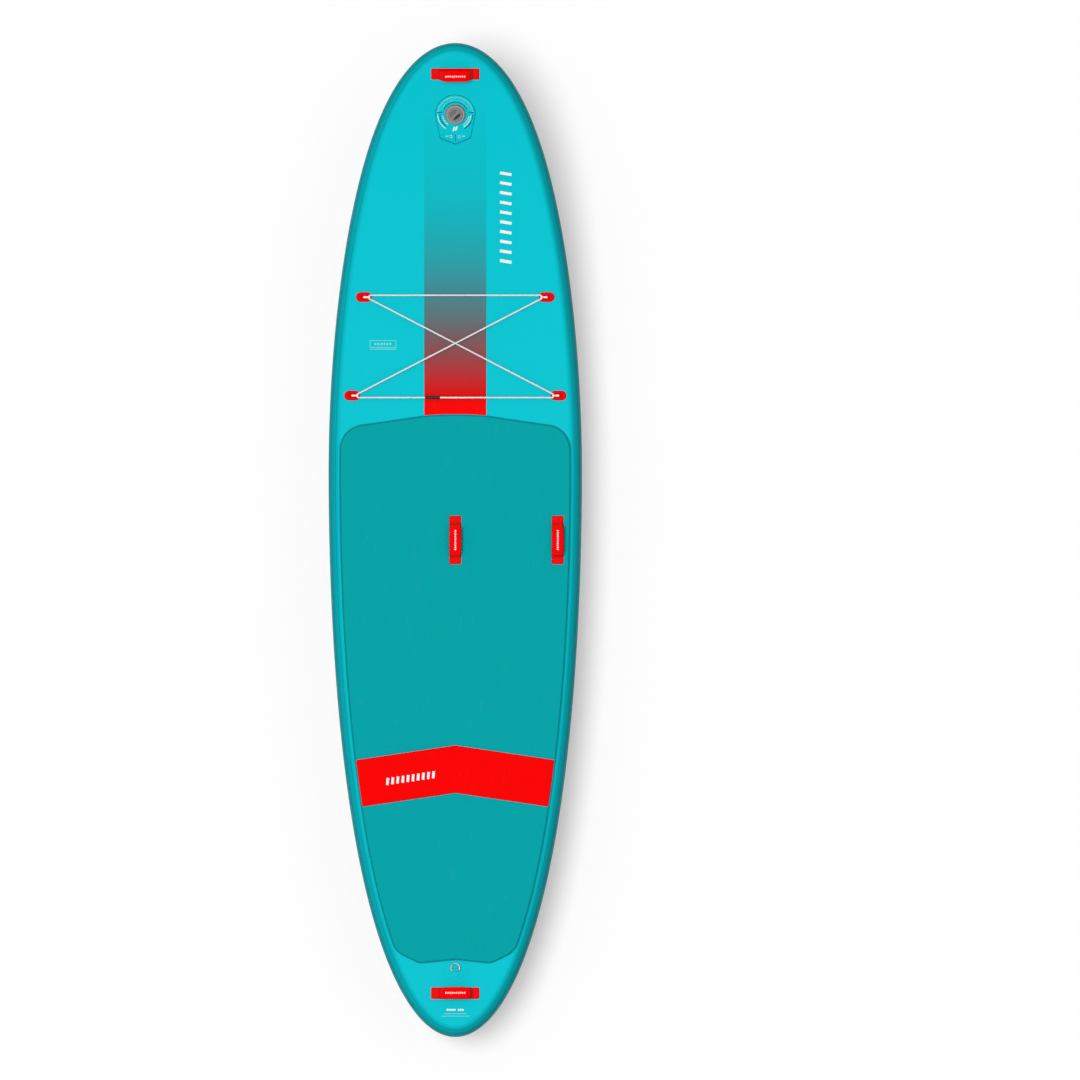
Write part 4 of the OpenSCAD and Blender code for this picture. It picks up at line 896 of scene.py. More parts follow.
def barsPart(centres, angles, length, width, height):
    centres, angles = np.asarray(centres, float), np.asarray(angles, float)
    local = barShape * [length / 2, width / 2, height]
    c, s = np.cos(angles)[:, None], np.sin(angles)[:, None]
    points = np.stack([c * local[:, 0] - s * local[:, 1], s * local[:, 0] + c * local[:, 1],
                       np.repeat(local[None, :, 2], len(centres), 0)], -1) + centres[:, None]
    faces = barFaces[None] + 8 * np.arange(len(centres))[:, None, None]
    faces = faces.reshape(-1, 4)
    return {"points": points.reshape(-1, 3), "faces": faces, "uv": points.reshape(-1, 3)[faces][..., :2]}


# Places and angles of stitches along a closed or open run of straight lines
def stitchRun(corners, pitch):
    corners = np.asarray(corners, float)
    steps = np.diff(corners, axis=0)
    lengths = np.linalg.norm(steps, axis=1)
    counts = np.maximum(1, np.round(lengths / pitch).astype(int))
    which = np.repeat(np.arange(len(steps)), counts)
    share = (np.concatenate([np.arange(n) for n in counts]) + 0.5) / counts[which]
    return corners[which] + steps[which] * share[:, None], np.arctan2(steps[which, 1], steps[which, 0])


# A flat printed line that follows the deck or hull between two points
ink = {"thickness": 0.0003, "proud": 0.0001}


def printedLine(start, end, width, surface=deckZ, side=1, above=0.0):
    start, end = np.array(start, float), np.array(end, float)
    steps = max(2, int(np.linalg.norm(end - start) / 0.02) + 1)
    xy = start + (end - start) * np.linspace(0, 1, steps)[:, None]
    z = surface + boardHeight(xy[:, 1]) + side * (ink["proud"] + above)
    return sweepPart(np.column_stack([xy, z]), bandSection(width, ink["thickness"]))


# A row of plain slanted blocks, as one piece each
def printedBlocks(start, end, count, share, height, slant, **words):
    start, end = np.array(start, float), np.array(end, float)
    pitch = (end - start) / count
    up = np.array([-pitch[1], pitch[0]]) / np.linalg.norm(pitch)
    lean = up * height + pitch / np.linalg.norm(pitch) * slant
    middles = start + pitch * (np.arange(count)[:, None] + 0.5)
    width = np.linalg.norm(pitch) * share
    return [printedLine(m - lean / 2, m + lean / 2, width, **words) for m in middles]


def printedBox(x0, x1, y0, y1, width, **words):
    corners = [(x0, y0), (x1, y0), (x1, y1), (x0, y1), (x0, y0)]
    return [printedLine(a, b, width, **words) for a, b in zip(corners[:-1], corners[1:])]


# Handles

handle = {
    "length": 0.156, "width": 0.038, "patch": 0.001, "corner": 0.003, "strapWidth": 0.032, "strap": 0.0024,
    "margin": 0.002, "foot": 0.022, "slope": 0.012, "rise": 0.022, "grip": 0.0084, "gripHalf": 0.041,
    "stitchPitch": 0.0032, "stitch": (0.0026, 0.0008, 0.0004), "stitchInset": 0.003, "sunk": 0.0001,
    "marks": 10, "markReach": 0.03, "mark": (0.0062, 0.0042, 0.0004), "markTurn": 1.3,
    "seats": {"nose": (0, 1.5, 0), "centre": (0, 0, math.pi / 2), "side": (0.33, 0, math.pi / 2),
              "tail": (0, -1.459, 0)},
}


def makeHandle(name, seat):
    place = lambda part: placed(part, onDeck, *seat)
    r, t = handle["corner"], handle["patch"]
    core, direction = roundCore(handle["length"] / 2 - r, handle["width"] / 2 - r, 5)
    patch = platePart(core, direction, [
        (0, 0, 0), (r, 1, 0), (r, 1, 0.7 * t), (0.9 * r, 1, t), (0, 1, t), (0, 0, t)])
    addPiece(name + "HandlePatch", [place(patch)], materials["red"], [name + "_handle_patch"])

    # Strap: two feet on the patch, two slopes and a level top
    low = handle["patch"] + handle["strap"] / 2
    high = low + handle["rise"]
    end, bend = handle["length"] / 2 - handle["margin"], handle["length"] / 2 - handle["foot"]
    top = bend - handle["slope"]
    line = softened([(-end, 0, low), (-bend, 0, low), (-top, 0, high), (top, 0, high),
                     (bend, 0, low), (end, 0, low)], window=7)
    strap = sweepPart(line, bandSection(handle["strapWidth"], handle["strap"]), uvSize=(1, 0.069))
    addPiece(name + "HandleStrap", [place(strap)], materials["webRed"],
             [name + "_handle_strap"])

    # Two boxes of stitches with a cross in each, on the strap's feet; one more ties off the last corner
    inset = handle["stitchInset"]
    inner, outer, half = bend + inset, end - inset, handle["strapWidth"] / 2 - inset
    box = [(inner, -half), (outer, -half), (outer, half), (inner, half), (inner, -half), (outer, half)]
    at, angle = stitchRun(box + [(outer, half)], handle["stitchPitch"])
    second, secondAngle = stitchRun([(inner, half), (outer, -half)], handle["stitchPitch"])
    at, angle = np.concatenate([at, second]), np.concatenate([angle, secondAngle])
    at = np.concatenate([at, at * [-1, 1]])
    angle = np.concatenate([angle, math.pi - angle])
    height = handle["patch"] + handle["strap"] - handle["sunk"]
    stitches = barsPart(np.column_stack([at, np.full(len(at), height)]), angle, *handle["stitch"])
    addPiece(name + "HandleStitching", [place(stitches)], materials["threadRed"])

    # Grip: a sleeve that is a little full in the middle and drawn in at a hem near each end
    s = np.concatenate([[-1, -0.995, -0.97], np.linspace(-0.94, 0.94, 41), [0.97, 0.995, 1]])
    size = (0.97 + 0.03 * (1 - s * s)) * (1 - 0.06 * np.exp(-((np.abs(s) - 0.86) / 0.02) ** 2)) \
        * (1 - 0.25 * smoothStep(0.95, 1, np.abs(s)) ** 2)
    path = np.column_stack([s * handle["gripHalf"], 0 * s, 0 * s + high])
    sleeve = sweepPart(path, bandSection(handle["width"], handle["grip"]), scale=size, uvSize=(1, 0.08))
    grip = addPiece(name + "HandleGrip", [place(sleeve)], materials["neoprene"],
                    [name + "_handle_grip"], crease=60)

    count = handle["marks"]
    xs = np.linspace(-handle["markReach"], handle["markReach"], count)
    markHeight = high + handle["grip"] / 2 - 2 * handle["sunk"]
    marks = barsPart(np.column_stack([xs, 0 * xs, 0 * xs + markHeight]),
                     np.full(count, handle["markTurn"]), *handle["mark"])
    addPiece(name + "HandleMarks", [place(marks)], materials["inkWhite"])


for key, seat in handle["seats"].items():
    makeHandle(key, seat)
print("handles made")

# Valve; local z = 0 is the underside of its flange


def onValve(points):
    return onDeck(points, 0, valve["y"], lift=valve["base"])


valvePatch = {
    "radius": 0.065, "shoulder": 0.0495, "back": 0.081, "tip": 0.1015, "hole": 0.0205, "thickness": 0.001,
    "ink": 0.0001,
}


def valvePatchEdge():
    a = np.linspace(0, math.pi, 60)[:-1]
    arc = valvePatch["radius"] * np.stack([np.cos(a), np.sin(a)], -1)
    r, sh, back = valvePatch["radius"], valvePatch["shoulder"], -valvePatch["back"]
    foot = softened([(-r, 0), (-sh, back), (0, -valvePatch["tip"]), (sh, back), (r, 0)], 0.0025, 3)
    return np.concatenate([arc, foot[:-1]])


patchEdge = valvePatchEdge()
patchAngle = np.arctan2(patchEdge[:, 1], patchEdge[:, 0])
patchHole = valvePatch["hole"] * np.stack([np.cos(patchAngle), np.sin(patchAngle)], -1)


# Ring of points between the hole and the patch's edge: hole + share * (edge - hole)
def patchRows(rows):
    rows = np.array(rows)
    xy = patchHole + (patchEdge - patchHole) * rows[:, 0, None, None]
    z = np.broadcast_to(rows[:, 1, None, None], xy.shape[:2] + (1,))
    return gridPart(np.concatenate([xy, z], -1), wrapRows=True, wrapCols=True)


patchTop = valvePatch["thickness"]
patchProfile = [(0, 0), (1, 0), (1, 0.7 * patchTop), (0.99, patchTop), (0.6, patchTop), (0, patchTop)]
addPiece("valvePatch", [placed(patchRows(patchProfile), onDeck, 0, valve["y"])], materials["turquoise"],
         ["valve_patch"])
inkLow, inkHigh = patchTop - valvePatch["ink"], patchTop + valvePatch["ink"]
# A dark line just inside the valve patch's edge: painted shade along that edge
edgeRows = [(0.96, inkLow), (0.992, inkLow), (0.992, inkHigh), (0.96, inkHigh)]
addPiece("valvePatchOutline", [placed(patchRows(edgeRows), onDeck, 0, valve["y"])], materials["patchEdgeShade"])


# Small printed bars at the places given, each turned by its own angle
def dialBars(xy, angles, length, width, above=0.0):
    xy = np.asarray(xy, float)
    centres = np.column_stack([xy, np.full(len(xy), inkLow + above)])
    angles = np.broadcast_to(angles, len(xy))
    return placed(barsPart(centres, angles, length, width, 2 * valvePatch["ink"]), onDeck, 0, valve["y"])


# Bars along an arc round the valve, between two angles in degrees
def dialMarks(radius, start, end, count, length, width):
    a = np.radians(np.linspace(start, end, count))
    return dialBars(radius * np.stack([np.cos(a), np.sin(a)], -1), a + math.pi / 2, length, width)


# A printed arc of constant width
def dialArc(radius, start, end, width):
    a = np.radians(np.linspace(start, end, 24))
    path = np.column_stack([radius * np.cos(a), radius * np.sin(a), np.full(24, patchTop)])
    return placed(sweepPart(path, bandSection(width, 2 * valvePatch["ink"])), onDeck, 0, valve["y"])


dialWhite = [
    dialMarks(0.0565, 10, 170, 23, 0.0036, 0.0016), dialMarks(0.0455, 20, 160, 26, 0.0016, 0.0012),
    dialMarks(0.051, 14, 166, 20, 0.0012, 0.0008), dialArc(0.0565, 182, 237, 0.0018),
    dialArc(0.0405, 188, 235, 0.001), dialMarks(0.043, 188, 236, 9, 0.003, 0.001),
    dialArc(0.0505, 302, 356, 0.0016), dialArc(0.0435, 304, 350, 0.001),
    dialMarks(0.047, 306, 350, 9, 0.003, 0.001),
    dialBars([(-0.0142, -0.0742), (0.0122, -0.075)], 0, 0.0068, 0.0092),
    dialBars([(-0.0045, -0.0495), (0.0035, -0.0475)], 1.2, 0.0165, 0.0056),
]
dialBlack = [
    dialMarks(0.0402, 26, 154, 17, 0.0044, 0.0034), dialMarks(0.0498, 184, 232, 7, 0.0044, 0.0046),
    dialArc(0.0562, 301, 332, 0.0026), dialMarks(0.0562, 337, 356, 4, 0.0036, 0.0034),
    dialBars([(-0.05, 0.006), (0.05, 0.006)], 0, 0.018, 0.0026),
    dialBars([(0, -0.078)], math.pi / 2, 0.023, 0.0024),
    dialBars([(-0.0142, -0.0742), (0.0122, -0.075)], 0, 0.004, 0.0064, above=0.0001),
]
dialPale = [dialBars([(-0.027, -0.073), (0.026, -0.073)], 0, 0.011, 0.0046)]
for label, parts, color in (("White", dialWhite, "inkWhite"), ("Black", dialBlack, "inkBlack"),
                            ("Pale", dialPale, "inkPale")):
    addPiece("valveMarks" + label, parts, materials[color])

bodyProfile = np.array([
    (17.4, -34), (20, -34), (20, 0), (31.6, 0), (32.5, 0.3), (33, 0.9), (33, 2), (32.7, 2.6), (32, 3),
    (31.4, 3), (31.1, 2.6), (30.7, 2.6), (30.4, 3), (18.2, 3), (17.6, 2.5), (17.6, -0.3), (17, -0.3),
    (17, -16), (17.4, -16)]) / 1000
addPiece("valveBody", [placed(lathePart(bodyProfile, closed=True), onValve)], materials["valveGrey"],
         ["valve_body"], crease=30)

cap = {
    "rim": 8, "hub": 13, "hubRadius": 22.5, "hollow": 18.5, "floor": 14.5, "bar": 4,
    "grooves": 30, "turn": math.radians(45), "steps": 180,
    "radii": np.concatenate([np.linspace(0, 17, 28), np.linspace(17.4, 23.4, 22), np.linspace(24, 29.2, 8),
                             [29.7, 30.1, 30.4, 30.5]]),
    "under": [(30.5, 4.6), (30.1, 4), (17.3, 4), (17.3, 0.6), (16.9, 0.2), (15.6, 0.2), (15.3, 0.6),
              (15.3, 4), (0, 4)],
}


# Cap: height over (radius, angle) is the rim, plus the hub, less two hollows beside the grip bar
def makeCap():
    a = np.arange(cap["steps"]) * 2 * math.pi / cap["steps"]
    radius, angle = cap["radii"][:, None], a[None]
    hubEdge = cap["hubRadius"] - 0.35 + 0.35 * np.cos(cap["grooves"] * angle)
    hub = 1 - smoothStep(hubEdge - 0.7, hubEdge, radius)
    along = radius * np.cos(angle - cap["turn"])
    offset = radius * np.sin(angle - cap["turn"])
    across = np.abs(offset)
    hollow = 1 - smoothStep(cap["floor"], cap["hollow"], radius)
    hollow = hollow * smoothStep(cap["bar"] - 0.5, cap["bar"] + 0.6, across)
    crown = 0.5 * (1 - smoothStep(0, cap["hubRadius"], radius))
    fall = 1.2 * (1 - np.sqrt(np.clip(1 - (np.clip(radius - 29.3, 0, 1.2) / 1.2) ** 2, 0, 1)))
    z = cap["rim"] + (cap["hub"] - cap["rim"] - 0.5 + crown) * hub * (1 - hollow) - fall
    top = np.stack([radius * np.cos(angle), radius * np.sin(angle), z], -1)
    under = np.array(cap["under"])
    below = np.stack([under[:, :1] * np.cos(a), under[:, :1] * np.sin(a),
                      np.repeat(under[:, 1:], cap["steps"], 1)], -1)
    part = gridPart(np.concatenate([top, below]) / 1000, wrapCols=True)
    # Painted shade: dark in the hollows' lens shapes, deeper in the hollow on the side away from the light,
    # fainter in the grooves and faint over the hub
    lens = 1 - smoothStep(0.75, 1.05, np.hypot(along / 15.5, (across - 8.6) / 6))
    groove = 0.5 * np.exp(-(((radius - 24.2) / 0.9) ** 2)) + 0.3 * np.exp(-(((radius - 29.9) / 0.6) ** 2))
    shade = np.maximum(lens * np.where(offset < 0, 1.0, 0.55), groove + 0.3 * (radius < 23) * (1 - lens))
    part["mark"] = np.concatenate([shade.ravel(), np.zeros(below.shape[0] * cap["steps"])])[part["rows"]]
    return part


addPiece("valveCap", [placed(makeCap(), onValve)], materials["valveLight"], ["valve_cap"],
         body="cap", crease=50)

spring = {"low": -28, "high": -19, "radius": 4.1, "wire": 0.5, "turns": 3, "press": 3}


# Spring: a helix round the plunger's stem, (radius cos a, radius sin a, height rising evenly with a)
def springPart():
    a = np.linspace(0, 2 * math.pi * spring["turns"], 24 * spring["turns"] + 1)
    z = spring["low"] + spring["wire"] + (spring["high"] - spring["low"] - 2 * spring["wire"]) * a / a[-1]
    path = np.column_stack([spring["radius"] * np.cos(a), spring["radius"] * np.sin(a), z])
    return sweepPart(path / 1000, circle(spring["wire"] / 1000, 10))


springCoil = addPiece("valveSpring", [placed(springPart(), onValve)], materials["spring"],
                      ["valve_spring"], crease=80)
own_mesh(springCoil)
print("valve made")

# Bungee: anchors, tabs, cord and joiner

bungee = {
    "front": (0.294, 0.782), "rear": (0.332, 0.465), "length": 52, "width": 32, "thickness": 3, "recess": 1.5,
    "rim": 4, "slot": 6, "tabWidth": 6, "tabTail": 18, "web": 1.2, "cord": 2.75, "clear": 0.95,
    "bendRadius": 6.5, "bendX": 22, "cross": 3.2, "joiner": 5, "joinerBore": 2.95, "joinerLength": 48,
    "joinerX": -0.0735,
}
loopIn = bungee["cord"] + bungee["clear"]
loopOut = loopIn + bungee["web"]
seatHeight = bungee["thickness"] - bungee["recess"]
cordHeight = (seatHeight + loopOut) / 1000
loopX = bungee["bendX"] - bungee["bendRadius"] + 0.4


# Anchor pad: a rounded stadium with a round recess and a slot towards the cord, both darkened by painted
# shade through its mark
def anchorPart():
    core, direction = roundCore((bungee["length"] - bungee["width"]) / 2, 0, 18)
    r, h = bungee["width"] / 2, bungee["thickness"]
    rows = [(0, 0, 0), (r, 1, 0), (r, 1, 0.7 * h), (r - 0.2, 1, 0.9 * h), (r - 0.7, 1, h)]
    rows += [(x, 1, h) for x in np.linspace(r - 1.4, 0, 20)] + [(0, s, h) for s in (0.8, 0.6, 0.4, 0.2, 0)]
    part = platePart(core, direction, rows)
    x, y, z = part["points"].T
    bowl = 1 - smoothStep(r - bungee["rim"] - 0.4, r - bungee["rim"] + 0.6, np.hypot(x, y))
    slot = (1 - smoothStep(bungee["slot"] - 0.5, bungee["slot"] + 0.5, np.abs(y))) * (x > 0)
    mask = np.maximum(bowl, slot) * (z > 0.85 * h)
    part["points"] = np.column_stack([x, y, z - np.minimum(mask * bungee["recess"], z)]) / 1000
    # Mark: painted shade in the recess and the slot
    part["mark"] = mask
    return part


# Tab: webbing that runs in on the pad, round the cord and back over itself
def tabPart():
    w = bungee["web"]
    a = np.radians(np.linspace(-90, 205, 30))
    mid = loopIn + w / 2
    ring = np.stack([loopX + mid * np.cos(a), 0 * a, loopOut + mid * np.sin(a)], -1)
    back = loopX - bungee["tabTail"]
    line = np.concatenate([[(back, 0, w / 2), (loopX - 3, 0, w / 2)], ring,
                           [(loopX - 6.5, 0, 1.5 * w), (back, 0, 1.5 * w)]])
    line = softened((line + [0, 0, seatHeight]) / 1000, 0.0005, 5)
    section = bandSection(bungee["tabWidth"] / 1000, w / 1000)[:, ::-1]
    return sweepPart(line, section, hint=(0, 1, 0), uvSize=(1, 0.0144))


for end in ("front", "rear"):
    for side, sign in (("port", -1), ("starboard", 1)):
        x, y = bungee[end]
        label, node = end + side.capitalize(), f"{end}_{side}"
        mirror = np.array([-sign, 1, 1])
        for kind, part, material, slot in (("anchor", anchorPart(), "anchor", "pvc_red"),
                                           ("tab", tabPart(), "webWhite", "webbing_white")):
            part["points"] = onDeck(part["points"] * mirror, sign * x, y)
            addPiece(label + kind.capitalize(), [part], materials[material], [f"{node}_{kind}"])


# A point at a height square to the deck's flat
def deckPoint(x, y, height):
    a = flatSlope(y)
    return np.array([x, y - height * math.sin(a), deckZ + flatHeight(y) + height * math.cos(a)])


# Bend round an anchor's tab: centre + radius (cos a, sin a), level with the cord
def bendPoints(x, y, fromDeg, toDeg):
    a = np.radians(np.linspace(fromDeg, toDeg, 15))[:, None]
    r = bungee["bendRadius"] / 1000
    return deckPoint(x, y, cordHeight) + r * np.cos(a) * [1, 0, 0] + r * np.sin(a) * [0, 1, 0]


# Diagonal run with a low hump or dip where it crosses the other: lift * exp(-((t - 0.5) / 0.2)^2)
def crossingPoints(start, end, lift):
    t = np.linspace(0, 1, 34)[1:-1, None]
    return start + (end - start) * t + lift * np.exp(-(((t - 0.5) / 0.2) ** 2)) * [0, 0, 1]


def cordRoute():
    fx, fy = bungee["front"][0] - bungee["bendX"] / 1000, bungee["front"][1]
    rx, ry = bungee["rear"][0] - bungee["bendX"] / 1000, bungee["rear"][1]
    dx, dy = fx + rx, fy - ry
    lean = math.degrees(math.atan2(dy, dx) + math.asin(2 * bungee["bendRadius"] / 1000 / math.hypot(dx, dy)))
    lift = bungee["cross"] / 1000
    frontPort, frontStar = bendPoints(-fx, fy, 270 - lean, 90), bendPoints(fx, fy, 90, -90 + lean)
    rearPort, rearStar = bendPoints(-rx, ry, 90 + lean, 270), bendPoints(rx, ry, -90, 90 - lean)
    t = np.linspace(0, 1, 40)[1:-1, None]
    return np.concatenate([
        frontStar, crossingPoints(frontStar[-1], rearPort[0], lift), rearPort,
        rearPort[-1] + (rearStar[0] - rearPort[-1]) * t,
        rearStar, crossingPoints(rearStar[-1], frontPort[0], -lift), frontPort,
        frontPort[-1] + (frontStar[0] - frontPort[-1]) * t]), rearPort[-1]


route, rearRun = cordRoute()
bungeeCord = sweepPart(route, circle(bungee["cord"] / 1000 - 0.0002, 16), closed=True)
addPiece("bungeeCord", [bungeeCord], materials["braid"], ["bungee_cord"], crease=80)


# Joiner: a moulded sleeve with flared ends and five crimps
def joinerPart():
    s = np.linspace(-1, 1, 73)
    crimps = np.exp(-(((np.abs(s[:, None] - np.linspace(-0.6, 0.6, 5)) / 0.05)) ** 2)).sum(1)
    r = bungee["joiner"] - 0.9 * crimps - 1.2 * smoothStep(0.93, 1, np.abs(s))
    half = bungee["joinerLength"] / 2
    bore = [(bungee["joinerBore"], half), (bungee["joinerBore"], -half)]
    part = lathePart(np.concatenate([np.column_stack([r, s * half]), bore]) / 1000, 32, closed=True)
    part["points"] = part["points"][:, [2, 0, 1]] + [bungee["joinerX"], rearRun[1], rearRun[2]]
    return part


addPiece("cordJoiner", [joinerPart()], materials["joiner"], ["cord_joiner"])
print("bungee made")

# Ring fittings

rings = {
    "tailY": -1.392, "noseY": 1.533, "seat": 1.8, "half": 14, "wire": 2.5, "corner": 3.5, "side": 7,
    "web": 1.2, "clear": 0.3, "tail": 20, "ahead": 0.007, "nosePatch": 0.0008,
    "patchProfile": [
        (0, 0), (39, 0), (39, 0.7), (38.6, 1), (34.6, 1), (34.3, 0.85), (33.7, 0.85), (33.4, 1), (28.2, 1),
        (27.8, 1.2), (27.5, 1.6), (27, 1.8), (23.4, 1.8), (23.1, 1.65), (22.6, 1.65), (22.3, 1.8),
        (9.6, 1.8), (9.3, 2), (8.7, 2), (8.4, 1.8), (0, 1.8)],
}
barHeight = rings["web"] + rings["clear"] + rings["wire"]


def ringPatchPart():
    return lathePart(np.array(rings["patchProfile"]) / 1000, 72)


def ringTabPart():
    w, mid = rings["web"], barHeight - rings["web"] / 2
    a = np.radians(np.linspace(-90, 215, 30))
    loop = np.stack([0 * a, mid * np.cos(a), barHeight + mid * np.sin(a)], -1)
    line = np.concatenate([[(0, -rings["tail"], w / 2), (0, -3, w / 2)], loop,
                           [(0, -6.5, 1.5 * w), (0, -rings["tail"], 1.5 * w)]])
    line = softened((line + [0, 0, rings["seat"]]) / 1000, 0.0005, 5)
    width = 2 * (rings["half"] - rings["corner"]) - 2 * rings["clear"]
    return sweepPart(line, bandSection(width / 1000, w / 1000)[:, ::-1], hint=(1, 0, 0), uvSize=(1, 0.043))


# D ring: a bar, two tight corners, two short sides and a half-round bow
def ringPart():
    r, c, side = rings["half"], rings["corner"], rings["side"]
    q = np.radians(np.linspace(0, 90, 8))
    bow = np.radians(np.linspace(0, 180, 41))
    right = np.stack([r - c + c * np.sin(q), c - c * np.cos(q)], -1)
    arc = np.stack([r * np.cos(bow), side + r * np.sin(bow)], -1)
    left = right[::-1] * [-1, 1]
    bar = np.stack([np.linspace(-(r - c), r - c, 12)[1:-1], np.zeros(10)], -1)
    xy = np.concatenate([right, arc, left, bar])
    lean = -math.asin(rings["web"] / (side + r))
    points = np.stack([xy[:, 0], xy[:, 1] * math.cos(lean),
                       xy[:, 1] * math.sin(lean) + rings["seat"] + barHeight], -1)
    return sweepPart(points / 1000, circle(rings["wire"] / 1000, 18), closed=True)


noseLift = rings["nosePatch"] * math.cos(flatSlope(rings["noseY"]))
for key, place, y, lift, ahead in (("tail", onDeck, rings["tailY"], 0.0, rings["ahead"]),
                                   ("nose", onHull, rings["noseY"], noseLift, 0.0)):
    tab, ring = ringTabPart(), ringPart()
    tab["points"] = tab["points"] + [0, ahead, 0]
    ring["points"] = ring["points"] + [0, ahead, 0]
    addPiece(key + "RingPatch", [placed(ringPatchPart(), place, 0, y, lift=lift)], materials["turquoise"],
             [key + "_ring_patch"], crease=25)
    addPiece(key + "RingTab", [placed(tab, place, 0, y, lift=lift)], materials["webTurquoise"],
             [key + "_ring_tab"])
    addPiece(key + "Ring", [placed(ring, place, 0, y, lift=lift)], materials["ring"],
             [key + "_ring"], body=key + "_ring", crease=80)

nosePatch = {"half": 0.1, "rear": 1.289, "thickness": 0.0008, "overlap": 0.0184}


# Patch under the nose: round at its rear end, as wide as the stripe, then out to the rail's cover. Past the
# flat hull it follows the rail: height = middle - half thickness * root of 1 - (way out / reach)^2
def nosePatchPart():
    angles = np.radians(np.linspace(45, 90, 400))
    flatEdge = outlineXY(angles) - board["railWidth"] * outlineNormal(angles)
    outerEdge = flatEdge + nosePatch["overlap"] * outlineNormal(angles)
    a = np.linspace(0, math.pi / 2, 16)
    roundY = nosePatch["rear"] + nosePatch["half"] * (1 - np.cos(a))
    tipY = outerEdge[-1, 1]
    rest = tipY - (tipY - roundY[-1]) * np.linspace(1, 0, 40)[1:] ** 2
    y = np.concatenate([roundY, rest])[:, None]
    restHalf = np.minimum(np.interp(rest, outerEdge[:, 1], outerEdge[:, 0]), nosePatch["half"])
    restHalf[-1] = 0
    x = np.concatenate([nosePatch["half"] * np.sin(a), restHalf])[:, None] * np.linspace(-1, 1, 41)
    y = np.repeat(y, 41, 1)
    apart = np.hypot(np.abs(x)[..., None] - flatEdge[:, 0], y[..., None] - flatEdge[:, 1]).min(-1)
    outside = np.abs(x) > np.interp(y, flatEdge[:, 1], flatEdge[:, 0], right=-1)
    reach = rail["wall"]["reach"] + nosePatch["thickness"]
    way = np.where(outside, np.minimum(apart, nosePatch["overlap"]), 0) / reach
    drop = (rail["wall"]["half"] + nosePatch["thickness"]) * np.sqrt(1 - way**2)
    return gridPart(np.stack([x, y, midZ + boardHeight(y) - drop], -1))


addPiece("nosePatch", [nosePatchPart()], materials["nosePatch"], ["nose_patch"],
         outward=False, thickness=nosePatch["thickness"])
print("rings and patches made")

# Fins

fins = {
    "seats": {"port": (-0.157, -1.074, math.radians(1.3)), "starboard": (0.157, -1.074, math.radians(-1.3)),
              "centre": (0, -1.388, 0)},
    "core": 65.5, "front": 72.5, "sweep": 164, "foot": 8.6, "depth": 100, "root": 9, "tip": 4,
    "leadPower": 1.7, "ribs": (3.7, 6.6),
    "trailing": [(9, -97.5), (27.2, -97.5), (49.95, -99.5), (72.7, -102.5), (89.1, -103.5), (96.4, -100.5),
                 (100, -91.5)],
    "baseRows": [
        (0, 0), (32, 0), (32, 2), (31.5, 2.8), (30.6, 3), (29.4, 3), (28.9, 3.7), (27.9, 3.7), (27.4, 3),
        (25.2, 3), (24.7, 3.7), (23.7, 3.7), (23.2, 3), (21.2, 3), (20.8, 3.5), (20.8, 5.2), (20.3, 5.8),
        (19.5, 6), (16.9, 6), (16.5, 6.6), (15.6, 6.6), (15.2, 6), (11.9, 6), (11.2, 6.6), (11.2, 8.2),
        (10.7, 8.8), (9.9, 9), (0, 9)],
}


# Base: a stadium plate in two steps with raised ribs, which its mark picks out with a painted highlight
def finBasePart():
    core, direction = roundCore(0, fins["core"], 12)
    rows = [(r, 1, z) for r, z in fins["baseRows"]]
    rows[0] = (0, 0, 0)
    rows.append((0, 0, 9))
    part = platePart(core, direction, rows)
    ribs = np.isin([z for r, share, z in rows], fins["ribs"]).astype(float)
    part["mark"] = np.repeat(ribs, len(core))[part["rows"]]
    part["points"] = part["points"] / 1000
    return part


# Blade: at each depth a foil section, whose half thickness is half of
# t (1.4845 sqrt c - 0.63 c - 1.758 c^2 + 1.4215 c^3 - 0.5075 c^4) / 0.5, and a little fuller at mid chord
def finBladePart():
    s = np.concatenate([np.linspace(0, 0.9, 26), 1 - 0.1 * np.array([0.75, 0.5, 0.3, 0.15, 0.06, 0.01])])
    z = fins["foot"] + (fins["depth"] - fins["foot"]) * s
    lead = fins["front"] - fins["sweep"] * (1 - (1 - s) ** (1 / fins["leadPower"]))
    trail = np.interp(z, [p[0] for p in fins["trailing"]], [p[1] for p in fins["trailing"]])
    lead = np.maximum(lead, trail + 0.5)
    c = 0.5 - 0.5 * np.cos(np.linspace(0, math.pi, 22))
    shape = (1.4845 * np.sqrt(c) - 0.63 * c - 1.758 * c**2 + 1.4215 * c**3 - 0.5075 * c**4) / 0.5
    shape = shape + 0.12 * c * (1 - c)
    thick = fins["root"] + (fins["tip"] - fins["root"]) * s
    half = thick / 2 * np.sqrt(np.clip(1 - smoothStep(0.9, 1, s) * 0.75, 0, 1))
    chord = np.concatenate([c, c[-2:0:-1]])
    side = np.concatenate([shape, -shape[-2:0:-1]])
    y = lead[:, None] + (trail - lead)[:, None] * chord
    x = half[:, None] * side
    points = np.stack([x, y, np.repeat(z[:, None], len(chord), 1)], -1)
    first, last = points[:1].mean(1, keepdims=True), points[-1:].mean(1, keepdims=True)
    points = np.concatenate([np.repeat(first, len(chord), 1), points, np.repeat(last, len(chord), 1)])
    part = gridPart(points / 1000, wrapCols=True)
    # Mark: a painted highlight along the leading edge, over the front of the chord
    part["mark"] = np.tile(1 - smoothStep(0, 0.025, chord), len(points))[part["rows"]]
    return part


for key, seat in fins["seats"].items():
    addPiece(key + "FinBase", [placed(finBasePart(), onHull, *seat)], materials["fin"],
             [key + "_fin_base"], crease=50)
    addPiece(key + "FinBlade", [placed(finBladePart(), onHull, *seat)], materials["finBlade"],
             [key + "_fin_blade"], crease=55)
print("fins made")

# Plain printed bars and boxes

